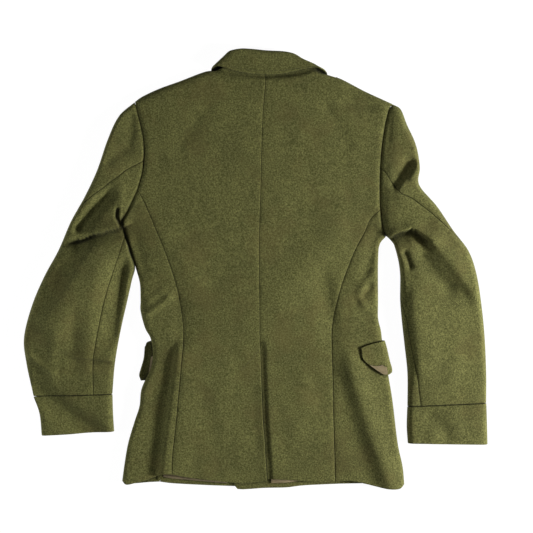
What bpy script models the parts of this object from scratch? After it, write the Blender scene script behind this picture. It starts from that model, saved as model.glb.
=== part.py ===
# A tailored wool field jacket, laid flat with its back up.
# X runs to the right, Y up towards the collar and Z up from the surface it lies on.
# The tables are in millimetres. Left and right are as seen from above.
import math

import bpy
import numpy as np
from mathutils import Matrix

MM = 0.001

# Cloth
WOOL = 2.4
COLLAR_WOOL = 2.0
CUFF_WOOL = 3.0
FLAP_WOOL = 2.6
LINING = 1.0
SEAM_GAP = 0.4
LAYER_GAP = 0.4

# Folds at the garment's edges: the height of the fold's middle and its width in plan
FOLD_HEIGHT = 6.5
SIDE_ROUND = 9.0
SHOULDER_ROUND = 15.0
SLEEVE_ROUND = 10.0
COLLAR_MIDDLE = 8.5
FALL_RISE = 7.5
STAND_RISE = 3.5
ROLL_RISE = 5.6

# Height of the upper layer: how far up the garment, at the centre, at the sides
CROWN = [
    (396, 12.5, 12.0),
    (350, 13.0, 12.0),
    (300, 15.5, 13.0),
    (200, 17.5, 15.0),
    (80, 17.0, 14.0),
    (-60, 15.5, 13.0),
    (-200, 15.0, 12.5),
    (-330, 13.5, 12.0),
    (-390, 11.6, 11.4),
]
CROWN_HALF_WIDTH = 200.0

CHEST_MIDDLE = np.array([0.0, 100.0])

# Soft folds in the upper layer: from x, y to x, y, height (a trough is negative), width
FOLDS = [
    ("right skirt trough", 152, -167, 198, -352, -2.6, 13),
    ("right skirt ridge", 178, -189, 232, -340, 1.8, 14),
    ("left skirt trough", -137, -188, -172, -360, -2.4, 12),
    ("left skirt ridge", -165, -215, -203, -350, 1.6, 14),
    ("left waist crease", -196, -82, -152, -60, -2.0, 9),
    ("right waist crease", 214, -96, 168, -66, -1.6, 10),
    ("left blade fold", -176, 96, -120, 30, 1.6, 16),
    ("right blade fold", 176, 100, 120, 40, 1.8, 16),
    ("left shoulder hollow", -150, 262, -120, 205, -1.4, 22),
    ("right shoulder hollow", 168, 262, 150, 195, -1.4, 22),
    ("left sleeve lip", -322, 52, -246, 76, 2.6, 10),
    ("left sleeve recess", -318, 36, -250, 50, -2.6, 9),
    ("left sleeve valley", -258, 134, -322, 62, -2.4, 11),
    ("left sleeve elbow", -372, 0, -300, -60, 2.2, 20),
    ("left sleeve crease", -400, -152, -350, -214, -1.8, 9),
    ("left sleeve ridge", -392, -150, -352, -200, 1.6, 9),
    ("left sleeve forearm", -352, -90, -318, -170, 1.6, 16),
    ("right sleeve lip", 240, 62, 280, 74, 2.6, 9),
    ("right sleeve long lip", 280, 72, 322, 42, 2.4, 9),
    ("right sleeve trough", 262, 48, 342, 4, -2.8, 11),
    ("right cap crease", 281, 190, 252, 148, -2.4, 10),
    ("right sleeve elbow", 380, 4, 330, -60, 2.2, 20),
    ("right sleeve forearm", 372, -110, 330, -200, 1.6, 18),
]

# What lifts the lower layer: from x, y to x, y, half width, ramp, height
LIFTS = [
    ("collar left", -62, 352, -30, 318, 26, 24, 3.8),
    ("collar right", 108, 344, 74, 306, 26, 24, 3.8),
    ("strap left", -112, 326, -196, 287, 40, 20, 3.4),
    ("strap right", 138, 330, 216, 287, 40, 20, 3.4),
    ("flap left", -192, -158, -130, -156, 62, 22, 3.5),
    ("flap right", 236, -156, 140, -156, 60, 26, 3.5),
]
FRONT_OVERLAP_EDGE = 62.0
FRONT_OVERLAP_RAMP = 30.0

# Seams and edges of the body, from the top down
CENTRE_SEAM = [(19, 369), (16, 323), (12, 269), (10, 204), (9, 155), (7, 87), (6, 35), (7, -91), (7, -133)]
VENT_EDGE = [(8, -142), (9, -178), (11, -234), (13, -277), (15, -298), (17, -333), (20, -372)]
VENT_TOP = -136.0
UNDERLAP_SLOPE = 36.0
# Columns of the right back beside the centre seam, above the vent and along it
UNDERLAP_SHUT = np.array([0.0, 3.0, 6.0, 10.0, 14.0])
UNDERLAP_OPEN = np.array([-38.0, -18.0, 3.0, 8.0, 14.0])

SHOULDER_LEFT = [
    (-62, 362), (-72, 357.5), (-86, 356.5), (-101, 352), (-137, 338), (-173, 325), (-203, 311), (-217, 301),
]
SHOULDER_RIGHT = [
    (106, 360), (114, 355), (124, 351), (140, 346), (155, 341), (193, 321), (221, 308), (245, 297),
]
NECK_LEFT = [(19, 369), (-25, 371), (-50, 369), (-62, 362)]
NECK_RIGHT = [(19, 369), (60, 369), (92, 367), (106, 360)]

SIDE_SEAM_LEFT = [
    (-211, 146), (-199, 120), (-183, 83), (-163, 35), (-142, -28), (-131, -91),
    (-130, -130), (-133, -167), (-138, -223), (-143, -277), (-149, -331), (-150, -365),
]
SIDE_SEAM_RIGHT = [
    (221, 117), (206, 93), (194, 67), (177, 35), (153, -28), (138, -91),
    (136, -135), (138, -200), (139, -266), (141, -331), (142, -378),
]
EDGE_LEFT = [
    (-242, 85), (-235, 67), (-225, 36), (-213, -1), (-207, -25), (-206, -55), (-206, -73), (-198, -103),
    (-188, -122), (-184, -149), (-187, -174), (-204, -212), (-208, -244), (-217, -272), (-228, -309),
    (-234, -342), (-239, -378),
]
EDGE_RIGHT = [
    (233, 63), (221, 47), (218, 17), (218, -55), (218, -86), (223, -108), (226, -131), (232, -160),
    (237, -192), (244, -235), (253, -309), (262, -352), (265, -384),
]
FRONT_SEAM_LEFT = [(-211, 146), (-191, 98), (-173, 35), (-158, -55), (-151, -136), (-158, -235), (-173, -380)]
FRONT_SEAM_RIGHT = [(221, 117), (198, 80), (180, 35), (169, -55), (166, -136), (173, -235), (191, -383)]

HEM_BACK_LEFT = [(20, -377), (-20, -381), (-63, -378), (-106, -373), (-150, -365)]
HEM_BACK_RIGHT = [(20, -374), (52, -375), (80, -377), (110, -379), (142, -378)]
HEM_SIDE_LEFT = [(-150, -365), (-167, -365), (-194, -375), (-216, -381), (-232, -384), (-239, -378)]
HEM_SIDE_RIGHT = [(142, -378), (166, -377), (191, -381), (211, -386), (235, -391), (256, -391), (265, -384)]
HEM_UNDER_LEFT = [(-173, -380), (-194, -381), (-216, -383), (-232, -384), (-239, -378)]
HEM_UNDER_RIGHT = [(191, -383), (211, -387), (235, -391), (256, -391), (265, -384)]
HEM_FRONT_LEFT = [(36, -387), (11, -389), (-40, -388), (-95, -386), (-150, -383), (-173, -380)]
HEM_FRONT_RIGHT = [
    (-39, -386), (-33, -393), (-14, -393), (14, -391), (55, -390), (82, -387), (146, -384), (191, -383),
]
FRONT_EDGE_LEFT = [(-30, 321), (-8, 288), (18, 240), (34, 190), (36, 150), (36, -387)]
FRONT_EDGE_RIGHT = [(72, 309), (46, 280), (2, 232), (-30, 178), (-36, 140), (-39, -386)]
GORGE_LEFT = [(-62, 362), (-50, 342), (-30, 321)]
GORGE_RIGHT = [(106, 360), (96, 335), (72, 309)]

# Sleeves, a row for each section: outer x, y, inner x, y, bow towards the body,
# back seam and inner seam as shares of the way across, height of the upper layer
SLEEVE_LEFT = [
    (-217, 301, -242, 85, 29, 0.47, 0.945, 15),
    (-245, 276, -245, 75, 15, 0.475, 0.940, 16),
    (-265, 234, -241.5, 60, 8, 0.395, 0.930, 17),
    (-284, 179, -232.5, 47, 4, 0.225, 0.900, 18),
    (-306, 132, -226.3, 29, 2, 0.06, 0.830, 18),
    (-331, 87, -218.6, 6, 0, -0.03, 0.760, 18),
    (-353, 36, -224, -18, 0, -0.05, 0.752, 18),
    (-379, -12, -232, -54, 0, -0.06, 0.754, 18),
    (-401, -64, -241, -93, 0, -0.06, 0.767, 17),
    (-415, -120, -249, -133, 0, -0.06, 0.775, 16),
    (-411, -165, -255, -172, 0, -0.06, 0.766, 15),
    (-398, -226, -259, -222, 0, -0.06, 0.773, 14),
]
SLEEVE_RIGHT = [
    (245, 297, 234, 63, -17, 0.49, 1.0, 15),
    (259, 288, 238, 60, -15, 0.513, 1.0, 16),
    (270, 261, 244, 54, -13, 0.514, 1.0, 17),
    (286, 225, 249, 47, -9, 0.50, 1.0, 18),
    (293, 186, 252, 38, -7, 0.377, 1.0, 18),
    (292, 153, 255, 26, -4, 0.214, 1.0, 18),
    (324, 114, 258, 11, -2, 0.128, 1.0, 18),
    (353, 71, 260, -9, 0, 0.03, 1.0, 18),
    (380, 35, 260, -30, 0, -0.02, 1.0, 18),
    (394, -5, 260, -55, 0, -0.05, 0.993, 17),
    (403, -59, 263, -91, 0, -0.06, 0.951, 17),
    (409, -118, 268, -136, 0, -0.06, 0.935, 16),
    (412, -185, 273, -185, 0, -0.06, 0.897, 15),
    (412, -238, 273, -244, 0, -0.06, 0.840, 14),
]
# Cuffs go on from the sleeve's last section: outer x, y, inner x, y
CUFF_LEFT = [(-398, -226, -259, -222), (-387, -257, -258, -257), (-383, -296, -256, -289)]
CUFF_RIGHT = [(412, -238, 273, -244), (413, -271, 272, -280), (414, -312, 274, -310)]
CUFF_HEIGHT = 14.5
BOW_POWER_LEFT = 1.0
BOW_POWER_RIGHT = 0.5

# Where the side body starts down the armhole, as a share of it
ARMHOLE_SPLIT = {"left": 0.74, "right": 0.77}
SHOULDER_ROOM = 0.5

# How finely each piece is divided
UNDER_COLUMNS = 8
LOWER_COLUMNS = 9
CAP_COLUMNS = 6
SLEEVE_ROWS = 18
BACK_COLUMNS = 9
FRONT_COLUMNS = 10
SEAM_ROWS = 19

# Collar, a row for each section from one front end round the neck to the other:
# fall edge x, y, roll x, y, stand edge x, y, and side: 1 is the back's, -1 the front's
COLLAR = [
    (-62, 312, -14, 342, -28, 324, -1.0),
    (-76, 338, -32, 364, -47, 345, -1.0),
    (-80, 351, -44, 379, -53, 357, -0.96),
    (-80.5, 359.5, -48, 386, -56, 363, -0.75),
    (-78.5, 363, -49, 389, -57, 366.5, 0.0),
    (-74, 365, -45, 393, -55, 370, 0.75),
    (-60, 363.5, -26, 396, -47, 371.5, 1.0),
    (-40, 357, -4, 395, -26, 372.6, 1.0),
    (-10, 352, 15, 393, -2, 372.0, 1.0),
    (19, 350, 32, 392, 22, 370.4, 1.0),
    (43, 351, 50, 391, 44, 370.6, 1.0),
    (65, 355, 68, 387, 66, 370.4, 1.0),
    (87, 360, 83, 378, 84, 369.4, 1.0),
    (106, 362.5, 97, 371.5, 98, 367.0, 0.95),
    (118, 360.5, 104, 368, 103, 364.5, 0.75),
    (126, 355.5, 109, 364, 105, 361.5, 0.0),
    (128, 351, 107, 360, 103, 356, -0.75),
    (124, 341, 98, 356, 100, 348, -0.96),
    (116, 326, 80, 348, 92.5, 337.5, -1.0),
    (92, 294, 56, 327, 69.5, 313, -1.0),
]

# Hip pocket flaps
FLAP_LEFT_TOP = [(-100, -122), (-186, -126), (-200, -137)]
FLAP_LEFT_BOTTOM = [(-100, -190), (-190, -197), (-207, -198)]
FLAP_LEFT_TIP = [(-200, -137), (-202, -158), (-207, -176), (-210, -188), (-207, -198)]
FLAP_TIP_LIFT = 2.6
FLAP_RIGHT_TOP = [(188, -138), (208, -131), (230, -126)]
FLAP_RIGHT_BACK = [(188, -138), (190, -155), (194, -162)]
FLAP_RIGHT_BOTTOM = [(194, -162), (211, -176), (227, -187), (236, -187), (243, -183)]
FLAP_RIGHT_TIP = [(230, -126), (234, -140), (239, -162), (243, -176), (243, -183)]
FLAP_RIGHT_UNDER_TOP = [(124, -122), (180, -123), (230, -126)]
FLAP_RIGHT_UNDER_BOTTOM = [(124, -190), (190, -191), (243, -183)]

# Shoulder straps, flat under the shoulders: neck end, arm end, half width, point
STRAP_LEFT = (-114, 326, -196, 289, 20, 9)
STRAP_RIGHT = (127.5, 335.5, 213, 284, 19.5, 9)

# How far across each front its strip of lining lies
FRONT_LINING_SPAN = {"left": (0.42, 0.9), "right": (0.3, 0.86)}

WOOL_GREEN = (0.088, 0.092, 0.030)
LINING_BEIGE = (0.36, 0.29, 0.17)


# Curves in plan

def smoothCurve(points, steps=10):
    """Return a dense line through the points, rounded between them."""
    p = np.array(points, float)
    ends = np.vstack([2 * p[0] - p[1], p, 2 * p[-1] - p[-2]])
    out = [p[0]]
    for k in range(len(p) - 1):
        a, b, c, d = ends[k:k + 4]
        for t in np.linspace(0, 1, steps + 1)[1:]:
            out.append(0.5 * (2 * b + (c - a) * t + (2 * a - 5 * b + 4 * c - d) * t * t
                              + (3 * b - a - 3 * c + d) * t ** 3))
    return np.array(out)


def along(line, shares):
    """Return points at shares of the line's length."""
    steps = np.linalg.norm(np.diff(line, axis=0), axis=1)
    run = np.concatenate([[0], np.cumsum(steps)]) / steps.sum()
    shares = np.asarray(shares, float)
    return np.stack([np.interp(shares, run, line[:, k]) for k in range(line.shape[1])], axis=-1)


def coonsPatch(top, bottom, start, end, us, vs):
    """Fill four joined lines: us run from start to end, vs from top to bottom."""
    t, b = along(top, us)[None], along(bottom, us)[None]
    s, e = along(start, vs)[:, None], along(end, vs)[:, None]
    u, v = us[None, :, None], vs[:, None, None]
    corners = ((1 - u) * (1 - v) * top[0] + u * (1 - v) * top[-1]
               + (1 - u) * v * bottom[0] + u * v * bottom[-1])
    return (1 - v) * t + v * b + (1 - u) * s + u * e - corners


def ramp(x):
    """Go smoothly from 0 to 1."""
    x = np.clip(x, 0, 1)
    return x * x * (3 - 2 * x)


def segmentDistance(x, y, x0, y0, x1, y1):
    dx, dy = x1 - x0, y1 - y0
    t = np.clip(((x - x0) * dx + (y - y0) * dy) / (dx * dx + dy * dy), 0, 1)
    return np.hypot(x - x0 - t * dx, y - y0 - t * dy)


# Heights of the two layers

def foldRelief(x, y):
    total = np.zeros_like(x)
    for _, x0, y0, x1, y1, height, width in FOLDS:
        total += height * np.exp(-(segmentDistance(x, y, x0, y0, x1, y1) / width) ** 2)
    return total


def crownHeight(x, y):
    rows = np.array(CROWN[::-1], float)
    centre = np.interp(y, rows[:, 0], rows[:, 1])
    side = np.interp(y, rows[:, 0], rows[:, 2])
    across = np.clip(np.abs(x) / CROWN_HALF_WIDTH, 0, 1)
    return side + (centre - side) * (1 - across ** 2)


def upperHeight(x, y):
    return crownHeight(x, y) + foldRelief(x, y)


def lowerHeight(x, y):
    lift = np.zeros_like(x)
    for _, x0, y0, x1, y1, half, width, height in LIFTS:
        away = segmentDistance(x, y, x0, y0, x1, y1) - half
        lift = np.maximum(lift, height * (1 - ramp(away / width)))
    return WOOL / 2 + lift


def overlapLift(x):
    """Return how far the right front rises to lie on the left one."""
    return (WOOL + LAYER_GAP) * (1 - ramp((x - FRONT_OVERLAP_EDGE) / FRONT_OVERLAP_RAMP))


def roundOff(distance, radius):
    """Return how far a fold has risen at a distance from its edge, and its tilt."""
    q = np.clip(distance / radius, 0, 1)
    return np.sqrt(1 - (1 - q) ** 2), 1 - q


# Solids

def outwardOf(line, middle):
    """Return level unit vectors square to a line that point away from the middle."""
    tangent = np.gradient(line, axis=0)
    normal = np.stack([tangent[..., 1], -tangent[..., 0]], axis=-1)
    normal /= np.linalg.norm(normal, axis=-1, keepdims=True)
    away = ((line - middle) * normal).sum(axis=-1, keepdims=True)
    return normal * np.where(away < 0, -1, 1)


def surfaceNormals(grid):
    """Return unit normals of a grid of points, which may be any way round."""
    across = np.gradient(grid, axis=1)
    down = np.gradient(grid, axis=0)
    normal = np.cross(across, down)
    return normal / np.linalg.norm(normal, axis=-1, keepdims=True)


def makeMaterial(name, colour, roughness):
    material = bpy.data.materials.new(name)
    material.use_nodes = True
    shader = material.node_tree.nodes["Principled BSDF"]
    shader.inputs["Base Color"].default_value = (*colour, 1.0)
    shader.inputs["Roughness"].default_value = roughness
    shader.inputs["Metallic"].default_value = 0.0
    return material


def makeWall(name, grid, normals, thickness, material, ring=False):
    """Make one closed wall round a grid of middle points."""
    rows, columns = grid.shape[:2]
    half = normals * thickness / 2
    points = np.concatenate([(grid + half).reshape(-1, 3), (grid - half).reshape(-1, 3)])
    points[:, 2] = np.maximum(points[:, 2], 0.0)
    inner = rows * columns
    faces = []
    lastColumn = columns if ring else columns - 1
    for i in range(rows - 1):
        for j in range(lastColumn):
            k = (j + 1) % columns
            a, b = i * columns + j, i * columns + k
            c, d = (i + 1) * columns + k, (i + 1) * columns + j
            faces.append((a, b, c, d))
            faces.append((inner + d, inner + c, inner + b, inner + a))
    border = []
    for j in range(lastColumn):
        k = (j + 1) % columns
        border.append((k, j))
        border.append(((rows - 1) * columns + j, (rows - 1) * columns + k))
    if not ring:
        for i in range(rows - 1):
            border.append((i * columns, (i + 1) * columns))
            border.append(((i + 2) * columns - 1, (i + 1) * columns - 1))
    for a, b in border:
        faces.append((a, b, inner + b, inner + a))
    makeSolid(name, points, faces, material)


def makeSolid(name, points, faces, material):
    """Make an object of closed faces, turned so that they point out."""
    points = points * MM
    triangles = np.array([(f[0], f[i], f[i + 1]) for f in faces for i in range(1, len(f) - 1)])
    a, b, c = (points[triangles[:, k]] for k in range(3))
    if (np.cross(a, b) * c).sum() < 0:
        triangles = triangles[:, ::-1]
    mesh = bpy.data.meshes.new(name)
    mesh.from_pydata([tuple(p) for p in points], [], [tuple(int(i) for i in t) for t in triangles])
    mesh.materials.append(material)
    mesh.shade_smooth()
    mesh.set_sharp_from_angle(angle=math.radians(50))
    bpy.context.scene.collection.objects.link(bpy.data.objects.new(name, mesh))


def shares(count):
    return np.linspace(0, 1, count)


def towardsEnd(count):
    """Return shares from 0 to 1 that lie closer together at 1."""
    return np.sin(0.5 * np.pi * shares(count))


def trimmed(grid, top=0.0, bottom=0.0, start=0.0, end=0.0):
    """Draw a grid's edges in, square to each edge, to leave room at the seams."""
    grid = grid.copy()
    for amount, edge, inside in (
        (top, np.s_[0], np.s_[1]), (bottom, np.s_[-1], np.s_[-2]),
        (start, np.s_[:, 0], np.s_[:, 1]), (end, np.s_[:, -1], np.s_[:, -2]),
    ):
        line = grid[edge]
        tangent = np.gradient(line, axis=0)
        tangent /= np.linalg.norm(tangent, axis=1, keepdims=True)
        inward = grid[inside] - line
        inward -= (inward * tangent).sum(axis=1, keepdims=True) * tangent
        inward /= np.linalg.norm(inward, axis=1, keepdims=True)
        grid[edge] = line + inward * np.reshape(amount, (-1, 1))
    return grid


# Armholes and sleeves

def underarmRoom(tilt):
    """Return how far a wall draws back where sleeve and body fold face to face."""
    return (WOOL / 2 + 0.25) * tilt ** 0.7


def sectionRows(table, count):
    """Return a sleeve's sections, evenly spread down its table."""
    lines = smoothCurve(table, steps=8)
    places = np.linspace(0, len(lines) - 1, count)
    return np.stack([np.interp(places, np.arange(len(lines)), column) for column in lines.T], axis=-1)


def sleeveTurns(side):
    """Return the turns of the sleeve's columns at the armhole: under sleeve, then top."""
    first, last = (turnOf(np.array(share)) for share in sleeveOf(side)[0][0][5:7])
    under = np.linspace(first, last, UNDER_COLUMNS)
    inner = np.linspace(last, 0.5, 3)[:-1] if last < 0.499 else np.empty(0)
    lower, cap = np.linspace(0.5, 1, LOWER_COLUMNS), np.linspace(1, 1 + first, CAP_COLUMNS)
    top = np.concatenate([inner, lower, cap[1:]])
    return under, top


def acrossOf(turns):
    return (1 - np.cos(2 * np.pi * turns)) / 2


def armholeShares(side, layer):
    """Return the places down the armhole that the sleeve's columns share with the body."""
    under, top = sleeveTurns(side)
    if layer == "upper":
        turns = np.concatenate([top[top >= 1 - 1e-9] - 1, under[1:], top[top <= 0.5 + 1e-9]])
        across = np.unique(np.round(acrossOf(turns), 9))
    else:
        across = np.unique(np.round(acrossOf(top[(top >= 0.5 - 1e-9) & (top <= 1 + 1e-9)]), 9))
    split = ARMHOLE_SPLIT[side]
    k = int(np.argmin(np.abs(across - split)))
    return across[:k + 1], across[k:]


def sleeveOf(side):
    return (SLEEVE_LEFT, BOW_POWER_LEFT) if side == "left" else (SLEEVE_RIGHT, BOW_POWER_RIGHT)


def armholePoints(side, places):
    """Return plan points on the armhole at shares of the way across the sleeve's first section."""
    table, power = sleeveOf(side)
    return sectionPoint(np.array(table[:1], float), np.asarray(places)[None], power)[0]


def sectionPoint(rows, across, power):
    """Return plan points across sections, which bow towards the body."""
    outer, inner = rows[:, None, 0:2], rows[:, None, 2:4]
    chord = inner - outer
    side = np.stack([-chord[..., 1], chord[..., 0]], axis=-1)
    side /= np.linalg.norm(side, axis=-1, keepdims=True)
    side *= np.sign(side[..., :1])
    bow = rows[:, None, 4:5] * np.sin(np.pi * np.clip(across, 1e-9, 1 - 1e-9))[..., None] ** power
    return outer + across[..., None] * chord + side * bow


def turnOf(share):
    """Return the turn round the sleeve where the upper layer has this share across."""
    return np.sign(share) * np.arccos(1 - 2 * np.abs(share)) / (2 * np.pi)


def sleeveSurface(table, power, rows, turns):
    """Return middle points and normals: turns 0 to 0.5 run over the upper layer."""
    across = (1 - np.cos(2 * np.pi * turns)) / 2
    upper = np.sin(2 * np.pi * turns) >= -1e-9
    plan = sectionPoint(rows, across, power)
    width = np.linalg.norm(rows[:, 2:4] - rows[:, 0:2], axis=1)[:, None]
    fromEdge = np.minimum(across, 1 - across) * width
    rise, tilt = roundOff(fromEdge, SLEEVE_ROUND)
    x, y = plan[..., 0], plan[..., 1]
    down = shares(len(rows))[:, None]
    ownTop = rows[:, None, 7] + 1.5 * np.sin(np.pi * across) + foldRelief(x, y)
    top = upperHeight(x, y) + (ownTop - upperHeight(x, y)) * ramp(down / 0.15)
    bottom = lowerHeight(x, y) + (WOOL / 2 - lowerHeight(x, y)) * ramp(down / 0.15)
    z = FOLD_HEIGHT + np.where(upper, (top - FOLD_HEIGHT) * rise, (bottom - FOLD_HEIGHT) * rise)
    middle = (rows[:, 0:2] + rows[:, 2:4]) / 2
    outerOut, innerOut = outwardOf(rows[:, 0:2], middle), outwardOf(rows[:, 2:4], middle)
    level = np.where(across[..., None] < 0.5, outerOut[:, None], innerOut[:, None])
    normals = np.concatenate([level * tilt[..., None], (np.where(upper, 1, -1) * rise)[..., None]], axis=-1)
    normals /= np.linalg.norm(normals, axis=-1, keepdims=True)
    return np.concatenate([plan, z[..., None]], axis=-1), normals, across, tilt


def makeSleeve(side, material):
    table, power = sleeveOf(side)
    rows = sectionRows(table, SLEEVE_ROWS)
    first, last = turnOf(rows[:, 5]), turnOf(np.minimum(rows[:, 6], 1.0))
    underTurns, topTurns = sleeveTurns(side)
    for name, begin, end, atArmhole in (
        (f"sleeve_under_{side}", first, last, underTurns),
        (f"sleeve_top_{side}", last, first + 1, topTurns),
    ):
        spread = (atArmhole - atArmhole[0]) / (atArmhole[-1] - atArmhole[0])
        turns = begin[:, None] + (end - begin)[:, None] * spread[None]
        grid, normals, across, tilt = sleeveSurface(table, power, rows, turns)
        atOuter = np.where(across[0] < 0.5, tilt[0], 0)
        atInner = np.where(across[0] < 0.5, 0, tilt[0])
        grid = trimmed(grid, top=SEAM_GAP / 2 + SHOULDER_ROOM * atOuter, bottom=SEAM_GAP / 2,
                       start=SEAM_GAP / 2, end=SEAM_GAP / 2)
        grid[0, :, :2] -= normals[0, :, :2] * underarmRoom(atInner)[:, None]
        makeWall(name, grid, normals, WOOL, material)


def makeCuff(side, table, material):
    rows = smoothCurve(table, steps=2)
    outer, inner = rows[:, None, 0:2], rows[:, None, 2:4]
    turns = np.linspace(0, 1, 29)[:-1][None]
    across = (1 - np.cos(2 * np.pi * turns)) / 2
    plan = outer + across[..., None] * (inner - outer)
    width = np.linalg.norm(rows[:, 2:4] - rows[:, 0:2], axis=1)[:, None]
    rise, tilt = roundOff(np.minimum(across, 1 - across) * width, SLEEVE_ROUND)
    upper = np.sin(2 * np.pi * turns) >= 0
    top = CUFF_HEIGHT + 1.5 * np.sin(np.pi * across) + 0.4
    z = FOLD_HEIGHT + np.where(upper, top - FOLD_HEIGHT, CUFF_WOOL / 2 - FOLD_HEIGHT) * rise
    grid = np.concatenate([plan, z[..., None]], axis=-1)
    middle = (rows[:, 0:2] + rows[:, 2:4]) / 2
    level = np.where(across[..., None] < 0.5, outwardOf(rows[:, 0:2], middle)[:, None],
                     outwardOf(rows[:, 2:4], middle)[:, None])
    sign = np.where(upper, 1, -1)
    normals = np.concatenate([level * tilt[..., None], (sign * rise)[..., None]], axis=-1)
    normals /= np.linalg.norm(normals, axis=-1, keepdims=True)
    drop = (grid[1] - grid[0]) / np.linalg.norm(grid[1] - grid[0], axis=-1, keepdims=True)
    grid[0] += drop * SEAM_GAP
    makeWall(f"cuff_{side}", grid, normals, CUFF_WOOL, material, ring=True)


# Body

def upright(shape, sign):
    normals = np.zeros((*shape, 3))
    normals[..., 2] = sign
    return normals


def shoulderRound(grid, us, neckShare, layer):
    """Bend a panel's top edge round to the shoulder seam: layer is 1 for the back, -1 for the front."""
    length = np.linalg.norm(grid[:, :, :2] - grid[:1, :, :2], axis=-1)
    rise, tilt = roundOff(length, SHOULDER_ROUND)
    weight = ramp((us - neckShare + 0.02) / 0.04)[None]
    seamHeight = FOLD_HEIGHT + layer * SEAM_GAP / 2
    z = grid[..., 2]
    grid[..., 2] = z + (seamHeight + (z - seamHeight) * rise - z) * weight
    level = outwardOf(grid[0, :, :2], CHEST_MIDDLE)[None] * (tilt * weight)[..., None]
    normals = upright(grid.shape[:2], layer)
    normals[..., :2] = level
    normals[..., 2] = layer * np.sqrt(np.maximum(1 - (level ** 2).sum(axis=-1), 0))
    return grid, normals


def joinLines(*lines):
    return np.vstack([lines[0]] + [line[1:] for line in lines[1:]])


def neckShareOf(neck, shoulder):
    lengths = [np.linalg.norm(np.diff(line, axis=0), axis=1).sum() for line in (neck, shoulder)]
    return lengths[0] / sum(lengths)


def backGrid(side, us):
    left = side == "left"
    neck = smoothCurve(NECK_LEFT if left else NECK_RIGHT)
    shoulder = smoothCurve(SHOULDER_LEFT if left else SHOULDER_RIGHT)
    armhole, seam = outerLines(side, "upper", SIDE_SEAM_LEFT if left else SIDE_SEAM_RIGHT)
    hem = smoothCurve(HEM_BACK_LEFT if left else HEM_BACK_RIGHT)
    centre = smoothCurve(CENTRE_SEAM + VENT_EDGE[:-1] + [tuple(hem[0])])
    plan = coonsPatch(joinLines(neck, shoulder), hem, centre, joinLines(armhole, seam), us,
                      outerShares(armhole, seam))
    return plan, neckShareOf(neck, shoulder)


def outerLines(side, layer, points):
    """Return a panel's outer line: down the armhole, then down its side seam."""
    above, _ = armholeShares(side, layer)
    armhole = armholePoints(side, above)
    return armhole, smoothCurve([tuple(armhole[-1])] + points[1:])


def outerShares(armhole, seam):
    """Return shares down the outer line at the places that its neighbours share."""
    steps = np.linalg.norm(np.diff(armhole, axis=0), axis=1)
    down = np.concatenate([[0], np.cumsum(steps)])
    length = np.linalg.norm(np.diff(seam, axis=0), axis=1).sum()
    return np.concatenate([down, down[-1] + length * shares(SEAM_ROWS)[1:]]) / (down[-1] + length)


def makeBack(side, material):
    us = shares(BACK_COLUMNS)
    plan, neckShare = backGrid(side, us)
    if side == "right":
        plan = addUnderlap(plan)
        us = np.linalg.norm(plan[0] - plan[0, :1], axis=-1)
        us = us / us[-1]
    z = upperHeight(plan[..., 0], plan[..., 1])
    if side == "right":
        z -= underlapDrop(plan)
    grid = np.concatenate([plan, z[..., None]], axis=-1)
    grid, normals = shoulderRound(grid, us, neckShare, 1)
    grid = trimmed(grid, top=SEAM_GAP / 2, start=SEAM_GAP / 2, end=SEAM_GAP / 2)
    makeWall(f"back_{side}", grid, normals, WOOL, material)


def ventLine():
    return smoothCurve(CENTRE_SEAM + VENT_EDGE)


def addUnderlap(plan):
    """Add columns at the centre that reach under the left back below the vent's top."""
    out = []
    for row in plan:
        y = row[0, 1]
        edge = row[0, 0]
        opened = ramp((VENT_TOP - y) / UNDERLAP_SLOPE)
        across = (1 - opened) * UNDERLAP_SHUT + opened * UNDERLAP_OPEN
        lead = np.stack([edge + across, np.full(len(across), y)], axis=-1)
        out.append(np.vstack([lead, row[1:]]))
    return np.array(out)


def underlapDrop(plan):
    """Return how far the right back drops to pass under the vent's edge."""
    line = ventLine()[::-1]
    edge = np.interp(plan[..., 1], line[:, 1], line[:, 0])
    near = 1 - ramp((plan[..., 0] - edge - 3.5) / 10)
    return (WOOL + LAYER_GAP) * near * (plan[..., 1] < VENT_TOP + 24)


def sideHalf(side, layer):
    """Return plan points of the side body's upper or lower half, out to the side fold."""
    left = side == "left"
    _, places = armholeShares(side, layer)
    armhole = armholePoints(side, places)
    if layer == "upper":
        inner, hem = (SIDE_SEAM_LEFT, HEM_SIDE_LEFT) if left else (SIDE_SEAM_RIGHT, HEM_SIDE_RIGHT)
    else:
        inner, hem = (FRONT_SEAM_LEFT, HEM_UNDER_LEFT) if left else (FRONT_SEAM_RIGHT, HEM_UNDER_RIGHT)
    seam = smoothCurve([tuple(armhole[0])] + inner[1:])
    edge = smoothCurve([tuple(armhole[-1])] + (EDGE_LEFT if left else EDGE_RIGHT)[1:])
    steps = np.linalg.norm(np.diff(armhole, axis=0), axis=1)
    us = np.concatenate([[0], np.cumsum(steps)]) / steps.sum()
    return coonsPatch(armhole, smoothCurve(hem), seam, edge, us, shares(SEAM_ROWS))


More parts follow.
